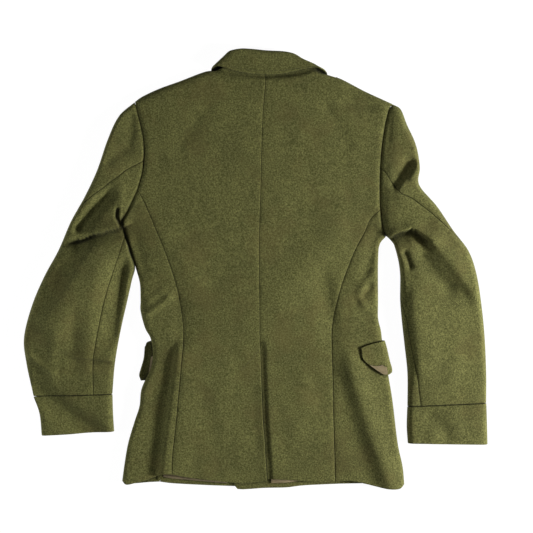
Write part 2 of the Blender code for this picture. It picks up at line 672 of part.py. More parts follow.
def makeSide(side, material):
    upper = sideHalf(side, "upper")
    lower = sideHalf(side, "lower")[:, ::-1][:, 1:]
    plan = np.concatenate([upper, lower], axis=1)
    isUpper = np.arange(plan.shape[1]) < upper.shape[1]
    atEdge = plan[:, upper.shape[1] - 1]
    rise, tilt = roundOff(np.linalg.norm(plan - atEdge[:, None], axis=-1), SIDE_ROUND)
    x, y = plan[..., 0], plan[..., 1]
    z = FOLD_HEIGHT + (np.where(isUpper, upperHeight(x, y), lowerHeight(x, y)) - FOLD_HEIGHT) * rise
    grid = np.concatenate([plan, z[..., None]], axis=-1)
    out = outwardOf(atEdge, np.array([0.0, 0.0]))
    sign = np.where(isUpper, 1, -1)[None]
    normals = np.concatenate([out[:, None] * tilt[..., None], (sign * rise)[..., None]], axis=-1)
    normals /= np.linalg.norm(normals, axis=-1, keepdims=True)
    grid = trimmed(grid, top=SEAM_GAP / 2, start=SEAM_GAP / 2, end=SEAM_GAP / 2)
    grid[0, :, :2] -= out[0][None] * underarmRoom(tilt[0])[:, None]
    makeWall(f"side_{side}", grid, normals, WOOL, material)


def frontCurves(side):
    left = side == "left"
    armhole, seam = outerLines(side, "lower", FRONT_SEAM_LEFT if left else FRONT_SEAM_RIGHT)
    gorge = smoothCurve((GORGE_LEFT if left else GORGE_RIGHT)[::-1])
    shoulder = smoothCurve(SHOULDER_LEFT if left else SHOULDER_RIGHT)
    hem = smoothCurve(HEM_FRONT_LEFT if left else HEM_FRONT_RIGHT)
    edge = smoothCurve(FRONT_EDGE_LEFT if left else FRONT_EDGE_RIGHT)
    return gorge, shoulder, joinLines(armhole, seam), hem, edge, outerShares(armhole, seam)


def frontGrid(side, us, vs=None):
    gorge, shoulder, outer, hem, edge, rows = frontCurves(side)
    plan = coonsPatch(joinLines(gorge, shoulder), hem, edge, outer, us, rows if vs is None else vs)
    z = lowerHeight(plan[..., 0], plan[..., 1])
    if side == "right":
        z = z + overlapLift(plan[..., 0])
    return np.concatenate([plan, z[..., None]], axis=-1), neckShareOf(gorge, shoulder)


def makeFront(side, material):
    us = shares(FRONT_COLUMNS)
    grid, neckShare = frontGrid(side, us)
    grid, normals = shoulderRound(grid, us, neckShare, -1)
    grid = trimmed(grid, top=SEAM_GAP / 2, end=SEAM_GAP / 2)
    makeWall(f"front_{side}", grid, normals, WOOL, material)


def makeFrontLining(side, material):
    """Lay a strip of lining on the front's inner face along its hem."""
    us, vs = np.linspace(*FRONT_LINING_SPAN[side], 8), np.linspace(0.955, 0.992, 3)
    grid, _ = frontGrid(side, us, vs)
    grid[..., 2] += WOOL / 2 + 2 * SEAM_GAP + LINING / 2
    makeWall(f"front_lining_{side}", grid, upright(grid.shape[:2], 1), LINING, material)


# Collar

def collarRow(row, columns):
    """Return the section of a collar from its fall's edge over the roll to the stand."""
    fall, roll, stand, side = np.array(row[0:2]), np.array(row[2:4]), np.array(row[4:6]), row[6]
    out = []
    for kind, share in columns:
        if kind == "fall":
            plan, rise = fall + (roll - fall) * share, FALL_RISE
        elif kind == "roll":
            plan, rise = roll, ROLL_RISE
        else:
            plan, rise = roll + (stand - roll) * share, STAND_RISE
        out.append((*plan, COLLAR_MIDDLE + side * rise))
    return out


def makeCollar(material):
    columns = [("fall", 0.0), ("fall", 0.33), ("fall", 0.66), ("fall", 0.93), ("roll", 0.0),
               ("stand", 0.08), ("stand", 0.4), ("stand", 0.7), ("stand", 1.0)]
    rows = smoothCurve(COLLAR, steps=2)
    rows[:, 6] = np.clip(rows[:, 6], -1, 1)
    grid = np.array([collarRow(row, columns) for row in rows])
    inset = np.sqrt(np.maximum(1 - rows[:, 6] ** 2, 0))
    towards = np.array([20.0, 340.0]) - rows[:, 0:2]
    towards /= np.linalg.norm(towards, axis=1, keepdims=True)
    for j, (kind, share) in enumerate(columns):
        depth = {"fall": 0.0, "roll": 2.0, "stand": 4.2 * (1 - share)}[kind]
        grid[:, j, :2] += towards * (depth * inset)[:, None]
    makeWall("collar", grid, surfaceNormals(grid), COLLAR_WOOL, material)


# Flaps, straps

def makeFlapLeft(material, lining):
    top, bottom = smoothCurve(FLAP_LEFT_TOP), smoothCurve(FLAP_LEFT_BOTTOM)
    tip = smoothCurve(FLAP_LEFT_TIP)
    start = smoothCurve([FLAP_LEFT_TOP[0], FLAP_LEFT_BOTTOM[0]])

    def surface(us, vs, raised):
        plan = coonsPatch(top, bottom, start, tip, us, vs)
        z = FLAP_WOOL / 2 + FLAP_TIP_LIFT * ramp((us - 0.88) / 0.12)[None] * np.ones((len(vs), 1)) + raised
        return np.concatenate([plan, z[..., None]], axis=-1)

    grid = surface(np.concatenate([shares(6) * 0.85, [0.9, 0.95, 1.0]]), shares(6), 0)
    makeWall("flap_left", grid, upright(grid.shape[:2], 1), FLAP_WOOL, material)
    strip = surface(np.linspace(0.955, 0.985, 3), np.linspace(0.45, 0.97, 5),
                    FLAP_WOOL / 2 + SEAM_GAP + LINING / 2)
    makeWall("flap_lining_left", strip, upright(strip.shape[:2], 1), LINING, lining)


def flapRightSurface(us, vs, raised):
    """Return the right flap's points: us 0 to 1 over the side, 1 to 2 beneath it."""
    tip = smoothCurve(FLAP_RIGHT_TIP)
    over = coonsPatch(smoothCurve(FLAP_RIGHT_TOP), smoothCurve(FLAP_RIGHT_BOTTOM),
                      smoothCurve(FLAP_RIGHT_BACK), tip, np.minimum(us, 1), vs)
    beneath = coonsPatch(smoothCurve(FLAP_RIGHT_UNDER_TOP), smoothCurve(FLAP_RIGHT_UNDER_BOTTOM),
                         smoothCurve([FLAP_RIGHT_UNDER_TOP[0], FLAP_RIGHT_UNDER_BOTTOM[0]]), tip,
                         np.clip(2 - us, 0, 1), vs)
    isUpper = (us <= 1)[None] & np.ones((len(vs), 1), bool)
    plan = np.where(isUpper[..., None], over, beneath)
    atTip = along(tip, vs)
    rise, tilt = roundOff(np.linalg.norm(plan - atTip[:, None], axis=-1), SIDE_ROUND + 3)
    top = upperHeight(plan[..., 0], plan[..., 1]) + WOOL / 2 + FLAP_WOOL / 2 + LAYER_GAP + 0.5
    z = FOLD_HEIGHT + (np.where(isUpper, top, FLAP_WOOL / 2) - FOLD_HEIGHT) * rise
    out = outwardOf(atTip, np.array([0.0, -150.0]))
    sign = np.where(isUpper, 1, -1)
    normals = np.concatenate([out[:, None] * tilt[..., None], (sign * rise)[..., None]], axis=-1)
    normals /= np.linalg.norm(normals, axis=-1, keepdims=True)
    grid = np.concatenate([plan, z[..., None]], axis=-1)
    return grid + normals * raised, normals


def makeFlapRight(material, lining):
    us = np.concatenate([towardsEnd(7), (2 - towardsEnd(8))[::-1][1:]])
    grid, normals = flapRightSurface(us, shares(6), 0)
    makeWall("flap_right", grid, normals, FLAP_WOOL, material)
    raised = FLAP_WOOL / 2 + SEAM_GAP + LINING / 2
    strip, normals = flapRightSurface(np.linspace(0.25, 0.82, 5), np.linspace(0.68, 0.97, 3), raised)
    makeWall("flap_lining_right", strip, normals, LINING, lining)


def makeStrap(side, neckX, neckY, armX, armY, half, point, material):
    neck, arm = np.array([neckX, neckY], float), np.array([armX, armY], float)
    run = (arm - neck) / np.linalg.norm(arm - neck)
    square = np.array([-run[1], run[0]])
    rows = [(-1.0, point), (-0.5, point * 0.35), (0.0, 0.0), (0.5, point * 0.35), (1.0, point)]
    length = np.linalg.norm(arm - neck)
    outline = np.array([[neck + run * (back + (length - back) * s) + square * half * across
                         for s in shares(5)] for across, back in rows])
    z = np.full(outline.shape[:2] + (1,), FLAP_WOOL / 2)
    grid = np.concatenate([outline, z], axis=-1)
    makeWall(f"shoulder_strap_{side}", grid, upright(grid.shape[:2], 1), FLAP_WOOL, material)


def centreFootprint():
    """Move everything so that the middle of its outline is over the origin."""
    meshes = [item.data for item in bpy.data.objects]
    corners = np.array([vertex.co for mesh in meshes for vertex in mesh.vertices])
    middle = (corners.min(axis=0) + corners.max(axis=0)) / 2
    for mesh in meshes:
        mesh.transform(Matrix.Translation((-middle[0], -middle[1], 0)))


def main():
    for item in list(bpy.data.objects):
        bpy.data.objects.remove(item, do_unlink=True)
    wool = makeMaterial("wool", WOOL_GREEN, 0.95)
    lining = makeMaterial("lining", LINING_BEIGE, 0.8)
    for side in ("left", "right"):
        makeBack(side, wool)
        makeSide(side, wool)
        makeFront(side, wool)
        makeFrontLining(side, lining)
        makeSleeve(side, wool)
    makeCuff("left", CUFF_LEFT, wool)
    makeCuff("right", CUFF_RIGHT, wool)
    makeCollar(wool)
    makeFlapLeft(wool, lining)
    makeFlapRight(wool, lining)
    makeStrap("left", *STRAP_LEFT, wool)
    makeStrap("right", *STRAP_RIGHT, wool)
    centreFootprint()


main()
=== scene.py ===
# The laid-out wool field jacket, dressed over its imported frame.
# X is to the right, Y up towards the collar, Z up from the floor. The tables are in millimetres.
import math
import bpy
import numpy as np
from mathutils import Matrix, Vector


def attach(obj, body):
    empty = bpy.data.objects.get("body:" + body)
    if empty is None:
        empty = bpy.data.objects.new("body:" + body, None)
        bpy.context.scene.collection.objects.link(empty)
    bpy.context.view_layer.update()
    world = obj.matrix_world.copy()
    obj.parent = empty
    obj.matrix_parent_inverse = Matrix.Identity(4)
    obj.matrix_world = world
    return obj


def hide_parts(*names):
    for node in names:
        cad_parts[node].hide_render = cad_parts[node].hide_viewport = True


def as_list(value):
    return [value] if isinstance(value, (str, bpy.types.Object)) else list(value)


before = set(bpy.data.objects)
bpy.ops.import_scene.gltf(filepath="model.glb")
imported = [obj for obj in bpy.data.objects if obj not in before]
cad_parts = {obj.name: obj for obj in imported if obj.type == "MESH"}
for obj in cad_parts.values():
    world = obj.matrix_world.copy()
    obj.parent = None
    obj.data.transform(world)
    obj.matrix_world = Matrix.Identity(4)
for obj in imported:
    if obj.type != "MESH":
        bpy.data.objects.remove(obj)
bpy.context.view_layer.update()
tableCentre = np.array([-0.13, 1.93, 0.0])     # middle of the outline that the tables draw

# The cloth itself: thicknesses, gaps and how its edges roll
cloth = {
    "wool": 2.4, "collar": 2.0, "cuff": 3.0, "flap": 2.6, "lining": 1.0, "allowance": 0.8,
    "seamGap": 0.5, "layerGap": 0.4, "floorGap": 0.05,
    "edgeRoll": 1.3,            # how far in from an edge the cloth starts to thin
    "wobble": 0.22, "wobbleSeed": 11, "wobbleWaves": 26, "wobbleLength": (26, 95),
    "foldScale": 1.75, "foldFade": 0.22,            # a fold runs out over this share at each end
    "least": 3.4, "most": 31.4, "softEdge": 1.5,    # how low and how high the upper layer may lie
    "foldHeight": 6.5, "sideRound": 9.0, "shoulderRound": 15.0, "sleeveRound": 10.0,
}


# Lines in plan

def smoothCurve(points, steps=10):
    p = np.array(points, float)
    ends = np.vstack([2 * p[0] - p[1], p, 2 * p[-1] - p[-2]])
    out = [p[0]]
    for k in range(len(p) - 1):
        a, b, c, d = ends[k:k + 4]
        for t in np.linspace(0, 1, steps + 1)[1:]:
            out.append(0.5 * (2 * b + (c - a) * t + (2 * a - 5 * b + 4 * c - d) * t * t
                              + (3 * b - a - 3 * c + d) * t ** 3))
    return np.array(out)


def along(line, places):      # points at shares of a line's length
    steps = np.linalg.norm(np.diff(line, axis=0), axis=1)
    run = np.concatenate([[0], np.cumsum(steps)]) / steps.sum()
    return np.stack([np.interp(places, run, line[:, k]) for k in range(line.shape[1])], axis=-1)


def coonsPatch(top, bottom, start, end, us, vs):      # fills four joined lines
    t, b = along(top, us)[None], along(bottom, us)[None]
    s, e = along(start, vs)[:, None], along(end, vs)[:, None]
    u, v = us[None, :, None], vs[:, None, None]
    corners = ((1 - u) * (1 - v) * top[0] + u * (1 - v) * top[-1]
               + (1 - u) * v * bottom[0] + u * v * bottom[-1])
    return (1 - v) * t + v * b + (1 - u) * s + u * e - corners


def ramp(x):
    x = np.clip(x, 0, 1)
    return x * x * (3 - 2 * x)


def fromLine(x, y, line):      # distance, above 0 on the line's left, and the share of the way along
    best, side, share = np.full(x.shape, np.inf), np.zeros(x.shape), np.zeros(x.shape)
    lengths = np.linalg.norm(np.diff(line, axis=0), axis=1)
    run = 0.0
    for (x0, y0), (x1, y1), length in zip(line[:-1], line[1:], lengths):
        dx, dy = x1 - x0, y1 - y0
        t = np.clip(((x - x0) * dx + (y - y0) * dy) / length ** 2, 0, 1)
        ax, ay = x - x0 - t * dx, y - y0 - t * dy
        away = np.hypot(ax, ay)
        near = away < best
        best = np.where(near, away, best)
        side = np.where(near, np.sign(dx * ay - dy * ax), side)
        share = np.where(near, (run + t * length) / lengths.sum(), share)
        run += length
    return best * side, share


# Heights of the two layers

# Folds pressed and slept into the cloth: name, its line, then
# ("fold", height, width on its left, width on its right) or
# ("lip", height, width behind the lip, width of the drop, depth below it, width of the hollow)
folds = [
    ("left skirt step", [(-133, -102), (-144, -190), (-157, -280), (-167, -361), (-178, -451)],
     ("lip", 3.6, 60, 11, 1.8, 26)),
    ("right skirt ridge", [(157, -109), (171, -174), (189, -235), (209, -297), (232, -361), (256, -437)],
     ("fold", 5.0, 24, 17)),
    ("right waist crease", [(218, 9), (198, -19), (185, -46), (194, -63), (212, -73)],
     ("fold", 1.8, 7, 7)),
    ("right waist upper crease", [(212, -23), (191, -45), (173, -61)],
     ("fold", -1.4, 7, 9)),
    ("left waist crease", [(-209, -84), (-182, -70), (-144, -37)],
     ("fold", 2.4, 9, 6)),
    ("left waist upper crease", [(-203, -61), (-184, -50), (-158, -30)],
     ("fold", 1.3, 8, 6)),
    ("right waist hollow", [(119, 13), (133, -73), (140, -149)],
     ("fold", -2.2, 12, 24)),
    ("left waist hollow", [(-144, -28), (-135, -100), (-135, -145)],
     ("fold", -1.6, 20, 12)),
    ("right back drape", [(180, 110), (115, 44), (52, -28), (4, -84)],
     ("fold", 1.6, 32, 28)),
    ("left back drape", [(-191, 103), (-144, 35), (-94, -41)],
     ("fold", 1.0, 24, 26)),
    ("right shoulder crease", [(144, 305), (173, 299), (216, 287)],
     ("fold", -1.4, 6, 7)),
    ("right shoulder drape", [(112, 305), (151, 251), (173, 204)],
     ("fold", -1.3, 10, 14)),
    ("left shoulder drape", [(-74, 308), (-119, 254), (-144, 197)],
     ("fold", -1.0, 14, 14)),
    ("left underarm drape", [(-227, 103), (-212, 44), (-203, -28)],
     ("fold", -1.4, 12, 10)),
    ("right underarm drape", [(218, 74), (205, 26), (198, -37)],
     ("fold", -1.4, 10, 12)),
    ("skirt left soft", [(-74, -136), (-61, -235), (-58, -325)],
     ("fold", 0.7, 24, 20)),
    ("skirt right soft", [(90, -136), (79, -235), (76, -343)],
     ("fold", 0.7, 20, 24)),
    ("left sleeve crest", [(-270, 78), (-284, 31), (-304, -5), (-324, -36), (-346, -66), (-367, -95),
                           (-392, -136)],
     ("fold", 7.6, 40, 26)),
    ("left sleeve lip", [(-342, 45), (-325, 53), (-310, 56), (-290, 65), (-267, 71), (-241, 78), (-216, 85)],
     ("lip", 2.6, 14, 1.6, 4.6, 18)),
    ("left lip pit", [(-349, 42), (-331, 51), (-310, 58), (-284, 67)],
     ("fold", -4.2, 6, 6)),
    ("left upper valley", [(-247, 153), (-270, 130), (-292, 107), (-310, 85), (-328, 56)],
     ("fold", -6.6, 13, 10)),
    ("left underarm slit", [(-246, 116), (-248, 101), (-247, 91), (-239, 76)],
     ("fold", -4.5, 3.2, 3.2)),
    ("left forearm ridge", [(-356, -73), (-358, -118), (-364, -167), (-358, -217)],
     ("fold", 1.8, 9, 12)),
    ("left forearm trough", [(-324, -55), (-326, -109), (-329, -156)],
     ("fold", -1.6, 9, 9)),
    ("left inner ridge", [(-286, 13), (-292, -55), (-299, -127), (-306, -199)],
     ("fold", 2.0, 12, 16)),
    ("left crease down", [(-412, -138), (-392, -162), (-371, -176), (-349, -185)],
     ("fold", 2.8, 4, 7)),
    ("left inner crease", [(-342, -154), (-310, -155), (-281, -158), (-248, -163)],
     ("lip", 1.8, 10, 5, 1.8, 9)),
    ("left cuff fold", [(-418, -185), (-392, -216), (-364, -243), (-331, -266), (-288, -297), (-259, -315)],
     ("fold", -7.4, 20, 16)),
    ("left inner panel", [(-234, 35), (-243, -28), (-254, -100), (-261, -149)],
     ("fold", -6.0, 12, 22)),
    ("left cap band", [(-221, 294), (-225, 242), (-232, 197)],
     ("fold", -2.0, 9, 13)),
    ("left cap hollow", [(-230, 222), (-250, 206), (-274, 186)],
     ("fold", -1.8, 9, 11)),
    ("right sleeve lip", [(216, 51), (235, 58), (251, 65), (269, 71), (278, 74), (292, 67), (308, 53),
                          (324, 35)],
     ("lip", 3.0, 14, 1.8, 5.4, 15)),
    ("right elbow fold", [(292, 71), (313, 53), (331, 33), (356, 4), (382, -32), (407, -70)],
     ("fold", 4.4, 26, 12)),
    ("right elbow hollow", [(281, 42), (302, 20), (328, -12), (360, -48)],
     ("fold", -2.6, 8, 16)),
    ("right cap crease", [(286, 204), (270, 182), (256, 161), (241, 139)],
     ("fold", -3.8, 6, 14)),
    ("right cap bulge", [(302, 211), (288, 182), (272, 153)],
     ("fold", 2.2, 9, 6)),
    ("right cap front", [(252, 297), (247, 260), (245, 215)],
     ("fold", 0.7, 14, 6)),
    ("right small crease", [(263, 38), (272, 20), (279, -1)],
     ("fold", -3.0, 5, 5)),
    ("right sleeve crest", [(284, -5), (284, -64), (292, -136), (295, -221)],
     ("fold", 3.6, 40, 14)),
    ("right forearm drape", [(346, -109), (353, -163), (342, -217)],
     ("fold", 0.9, 16, 14)),
    ("under the collar", [(-108, 368), (-86, 365), (-61, 357), (-29, 351), (11, 348), (61, 351),
                          (101, 360), (133, 373)],
     ("fold", -3.0, 9, 4)),
    ("right cuff hollow", [(302, -250), (331, -279), (346, -311)],
     ("fold", -1.4, 12, 12)),
]


def foldHeight(away, profile):
    if profile[0] == "fold":
        _, height, left, right = profile
        return height * np.exp(-(away / np.where(away > 0, left, right)) ** 2)
    _, height, left, drop, depth, hollow = profile
    behind = height * np.exp(-(away / left) ** 2)
    below = np.maximum(-away - drop, 0) / hollow
    under = height - (height + depth) * ramp(-away / drop)
    return np.where(away > 0, behind, np.where(-away < drop, under, -depth * np.exp(-below ** 2)))


def foldRelief(x, y):
    total = np.zeros(x.shape)
    for _, points, profile in folds:
        line = smoothCurve(points, steps=4)
        reach = 3 * max(profile[2:])
        low, high = line.min(axis=0) - reach, line.max(axis=0) + reach
        near = (x > low[0]) & (x < high[0]) & (y > low[1]) & (y < high[1])
        if near.any():
            away, share = fromLine(x[near], y[near], line)
            fade = ramp(share / cloth["foldFade"]) * ramp((1 - share) / cloth["foldFade"])
            total[near] += cloth["foldScale"] * foldHeight(away, profile) * fade
    return total


# How seams sink and pucker
seams = {
    "armhole": 2.6, "side": 0.8, "sleeve": 0.8, "cuff": 1.0, "centre": 0.6, "width": 3.2,
    "pucker": 0.16, "puckerPitch": 15.0, "puckerReach": 9.0, "puckerDrift": 37,
    "reach": 20, "endFade": 0.004, "shows": (0.02, 0.985),      # where a sleeve's seam is on the upper layer
}


def seamLines():
    least, most = seams["shows"]
    for side in ("left", "right"):
        rows = smoothCurve(sleeves[side]["sections"], steps=4)
        power = sleeves[side]["bowPower"]
        yield armholePoints(side, np.linspace(0, 1, 40)), seams["armhole"]
        yield smoothCurve(body[side]["sideSeam"], steps=4), seams["side"]
        for column in (5, 6):
            line = np.array([sectionPoint(rows[k:k + 1], np.array([[row[column]]]), power)[0, 0]
                             for k, row in enumerate(rows) if least < row[column] < most])
            yield line, seams["sleeve"]
        yield np.array([rows[-1, 0:2], rows[-1, 2:4]]), seams["cuff"]
    yield smoothCurve(body["centreSeam"], steps=4), seams["centre"]


def seamRelief(x, y):      # the dip that pressing and stitching leave at a seam, and the puckers beside it
    total = np.zeros(x.shape)
    for line, depth in seamLines():
        low, high = line.min(axis=0) - seams["reach"], line.max(axis=0) + seams["reach"]
        near = (x > low[0]) & (x < high[0]) & (y > low[1]) & (y < high[1])
        if near.any():
            away, share = fromLine(x[near], y[near], line)
            away = np.abs(away)
            run = share * np.linalg.norm(np.diff(line, axis=0), axis=1).sum()
            inside = ramp(share / seams["endFade"]) * ramp((1 - share) / seams["endFade"])
            drift = 3 * np.sin(run / seams["puckerDrift"])
            waves = np.sin(2 * np.pi * run / seams["puckerPitch"] + drift) * seams["pucker"]
            total[near] += (-depth * np.exp(-(away / seams["width"]) ** 2)
                            + waves * np.exp(-(away / seams["puckerReach"]) ** 2)) * inside
    return total


def wobble(x, y):      # slow unevenness of cloth that has been worn and pressed
    random = np.random.default_rng(cloth["wobbleSeed"])
    total = np.zeros(x.shape)
    for _ in range(cloth["wobbleWaves"]):
        wave = 2 * np.pi / random.uniform(*cloth["wobbleLength"])
        turn, phase = random.uniform(0, 2 * np.pi, 2)
        total += np.sin(wave * (x * np.cos(turn) + y * np.sin(turn)) + phase)
    return cloth["wobble"] * total / np.sqrt(cloth["wobbleWaves"] / 2)


# How high the upper layer lies: y, at the centre, at the sides
crown = {
    "halfWidth": 200.0,
    "heights": [
        (396, 12.5, 12.0),
        (350, 13.0, 12.0),
        (300, 15.5, 13.0),
        (200, 17.5, 15.0),
        (80, 17.0, 14.0),
        (-60, 15.5, 13.0),
        (-200, 15.0, 12.5),
        (-330, 13.5, 12.0),
        (-390, 11.6, 11.4),
    ],
}


def crownHeight(x, y):
    rows = np.array(crown["heights"][::-1], float)
    centre = np.interp(y, rows[:, 0], rows[:, 1])
    side = np.interp(y, rows[:, 0], rows[:, 2])
    across = np.clip(np.abs(x) / crown["halfWidth"], 0, 1)
    return side + (centre - side) * (1 - across ** 2)


def relief(x, y):
    return foldRelief(x, y) + seamRelief(x, y) + wobble(x, y)


def kept(top, bottom):      # keeps the upper layer clear of the lower one
    lowest = bottom + cloth["least"]
    soft = cloth["softEdge"]
    top = lowest + soft * np.logaddexp(0, (top - lowest) / soft)
    return cloth["most"] - soft * np.logaddexp(0, (cloth["most"] - top) / soft)


def upperHeight(x, y):
    return kept(crownHeight(x, y) + relief(x, y), lowerHeight(x, y))


# What lifts the lower layer: name, x, y to x, y, half width, ramp, height
lifts = [
    ("collar left", -62, 352, -30, 318, 26, 24, 3.8),
    ("collar right", 108, 344, 74, 306, 26, 24, 3.8),
    ("strap left", -112, 326, -196, 287, 40, 20, 3.4),
    ("strap right", 138, 330, 216, 287, 40, 20, 3.4),
    ("flap left", -192, -158, -130, -156, 62, 22, 3.5),
    ("flap right", 236, -156, 140, -156, 60, 26, 3.5),
]


def lowerHeight(x, y):
    lift = np.zeros(x.shape)
    for _, x0, y0, x1, y1, half, width, height in lifts:
        away, _ = fromLine(x, y, np.array([(x0, y0), (x1, y1)], float))
        lift = np.maximum(lift, height * (1 - ramp((np.abs(away) - half) / width)))
    return cloth["wool"] / 2 + lift


def roundOff(distance, radius):      # how far a fold has risen at a distance from its edge, and its tilt
    q = np.clip(distance / radius, 0, 1)
    return np.sqrt(1 - (1 - q) ** 2), 1 - q


def outwardOf(line, middle):
    tangent = np.gradient(line, axis=0)
    normal = np.stack([tangent[..., 1], -tangent[..., 0]], axis=-1)
    normal /= np.linalg.norm(normal, axis=-1, keepdims=True)
    away = ((line - middle) * normal).sum(axis=-1, keepdims=True)
    return normal * np.where(away < 0, -1, 1)


def unit(vectors):
    return vectors / np.linalg.norm(vectors, axis=-1, keepdims=True)


def surfaceNormals(grid):
    return unit(np.cross(np.gradient(grid, axis=1), np.gradient(grid, axis=0)))


# Walls of cloth, with rolled edges

def rolledRows(values, steps):      # adds rows just inside the first and the last one
    first = [values[0] + (values[1] - values[0]) * s for s in steps[0]]
    last = [values[-1] + (values[-2] - values[-1]) * s for s in steps[1]]
    return np.concatenate([values[:1], first, values[1:-1], last[::-1], values[-1:]])


def rollEdges(grid, normals):
    inward, thin = np.array([0.12, 0.45, 1.0]), np.array([0.36, 0.66, 0.92, 1.0])
    steps = []
    for edge, inside in ((0, 1), (-1, -2)):
        gap = np.linalg.norm(grid[inside] - grid[edge], axis=-1, keepdims=True)
        steps.append([np.minimum(s * cloth["edgeRoll"] / gap, 0.25 + 0.2 * s) for s in inward])
    grid, normals = rolledRows(grid, steps), unit(rolledRows(normals, steps))
    share = np.ones(grid.shape[:2])
    share[:4] = thin[:, None]
    share[-4:] = thin[::-1, None]
    return grid, normals, share


def makeWall(name, grid, normals, thickness, material, ring=False):
    grid, normals, share = rollEdges(grid, normals)
    if not ring:
        turned = rollEdges(grid.transpose(1, 0, 2), normals.transpose(1, 0, 2))
        columnShare = turned[2].T
        grid, normals = turned[0].transpose(1, 0, 2), turned[1].transpose(1, 0, 2)
        rowShare = np.ones(grid.shape[:2])
        rowShare[:4], rowShare[-4:] = share[:4, :1], share[-4:, :1]
        share = np.minimum(rowShare, columnShare)
    rows, columns = grid.shape[:2]
    half = normals * share[..., None] * thickness / 2
    points = np.concatenate([(grid + half).reshape(-1, 3), (grid - half).reshape(-1, 3)])
    points[:, 2] = np.maximum(points[:, 2], cloth["floorGap"])
    wide = columns if ring else columns - 1
    i, j = (a.reshape(-1) for a in np.meshgrid(np.arange(rows - 1), np.arange(wide), indexing="ij"))
    k = (j + 1) % columns
    top = np.stack([i * columns + j, i * columns + k, (i + 1) * columns + k, (i + 1) * columns + j], axis=1)
    inner = rows * columns
    j, k = np.arange(wide), (np.arange(wide) + 1) % columns
    border = [np.stack([k, j], axis=1), np.stack([j, k], axis=1) + (rows - 1) * columns]
    if not ring:
        i = np.arange(rows - 1)
        border += [np.stack([i, i + 1], axis=1) * columns, np.stack([i + 2, i + 1], axis=1) * columns - 1]
    border = np.concatenate(border)
    rim = np.concatenate([border, border[:, ::-1] + inner], axis=1)
    faces = np.concatenate([top, top[:, ::-1] + inner, rim])
    grain = np.stack([np.cumsum(np.linalg.norm(np.diff(grid, axis=1, prepend=grid[:, :1]), axis=-1), axis=1),
                      np.cumsum(np.linalg.norm(np.diff(grid, axis=0, prepend=grid[:1]), axis=-1), axis=0)],
                     axis=-1).reshape(-1, 2)
    return makePiece(name, points, faces, material, np.concatenate([grain, grain]))


def makePiece(name, points, faces, material, grain):
    points = (points - tableCentre) * 0.001
    a, b, c, d = (points[faces[:, k]] for k in range(4))
    if (np.cross(a, b) * c).sum() + (np.cross(a, c) * d).sum() < 0:
        faces = faces[:, ::-1]
    mesh = bpy.data.meshes.new(name)
    mesh.from_pydata(points.tolist(), [], faces.tolist())
    layer = mesh.uv_layers.new(name="grain")
    layer.data.foreach_set("uv", (grain[faces.reshape(-1)] * 0.001).astype(np.float32).reshape(-1))
    mesh.materials.append(material)
    mesh.shade_smooth()
    piece = bpy.data.objects.new(name, mesh)
    bpy.context.scene.collection.objects.link(piece)
    return piece


def trimmed(grid, top=0.0, bottom=0.0, start=0.0, end=0.0):      # leaves room at the seams
    grid = grid.copy()
    for amount, edge, inside in (
        (top, np.s_[0], np.s_[1]), (bottom, np.s_[-1], np.s_[-2]),
        (start, np.s_[:, 0], np.s_[:, 1]), (end, np.s_[:, -1], np.s_[:, -2]),
    ):
        line = grid[edge]
        tangent = unit(np.gradient(line, axis=0))
        inward = grid[inside] - line
        inward -= (inward * tangent).sum(axis=1, keepdims=True) * tangent
        grid[edge] = line + unit(inward) * np.reshape(amount, (-1, 1))
    return grid


# Sleeves, a row for each section: outer x, y, inner x, y, bow towards the body,
# back seam and inner seam as shares of the way across, height of the upper layer
sleeves = {
    "rows": 270, "underColumns": 46, "topColumns": 96, "shoulderRoom": 0.5,
    "swell": 1.5, "capShare": 0.15,      # the cap takes the body's height over this share of the sleeve
    "underarmGap": 0.25, "underarmPower": 0.7, "underarmSteps": (1.0, 0.55, 0.2),
    "left": {
        "bowPower": 1.0,
        "sections": [
            (-217, 301, -242, 85, 29, 0.47, 0.945, 15),
            (-245, 276, -245, 75, 15, 0.475, 0.940, 16),
            (-265, 234, -241.5, 60, 8, 0.395, 0.930, 17),
            (-284, 179, -231.6, 47, 4, 0.225, 0.900, 18),
            (-306, 132, -225.7, 29, 2, 0.06, 0.830, 18),
            (-331, 87, -218.3, 6, 0, -0.03, 0.760, 18),
            (-353, 36, -224, -18, 0, -0.05, 0.752, 18),
            (-379, -12, -232, -54, 0, -0.06, 0.754, 18),
            (-401, -64, -241, -93, 0, -0.06, 0.767, 17),
            (-415, -120, -249, -133, 0, -0.06, 0.775, 16),
            (-411, -165, -255, -172, 0, -0.06, 0.766, 15),
            (-398, -226, -259, -222, 0, -0.06, 0.773, 14),
        ],
    },
    "right": {
        "bowPower": 0.5,
        "sections": [
            (245, 297, 234, 63, -17, 0.49, 1.0, 15),
            (259, 288, 238, 60, -15, 0.513, 1.0, 16),
            (270, 261, 244, 54, -13, 0.514, 1.0, 17),
            (286, 225, 249, 47, -9, 0.50, 1.0, 18),
            (293, 186, 252, 38, -7, 0.377, 1.0, 18),
            (292, 153, 255, 26, -4, 0.214, 1.0, 18),
            (324, 114, 258, 11, -2, 0.128, 1.0, 18),
            (353, 71, 260, -9, 0, 0.03, 1.0, 18),
            (380, 35, 260, -30, 0, -0.02, 1.0, 18),
            (394, -5, 260, -55, 0, -0.05, 0.993, 17),
            (403, -59, 263, -91, 0, -0.06, 0.951, 17),
            (409, -118, 268, -136, 0, -0.06, 0.935, 16),
            (412, -185, 273, -185, 0, -0.06, 0.897, 15),
            (412, -238, 273, -244, 0, -0.06, 0.840, 14),
        ],
    },
}

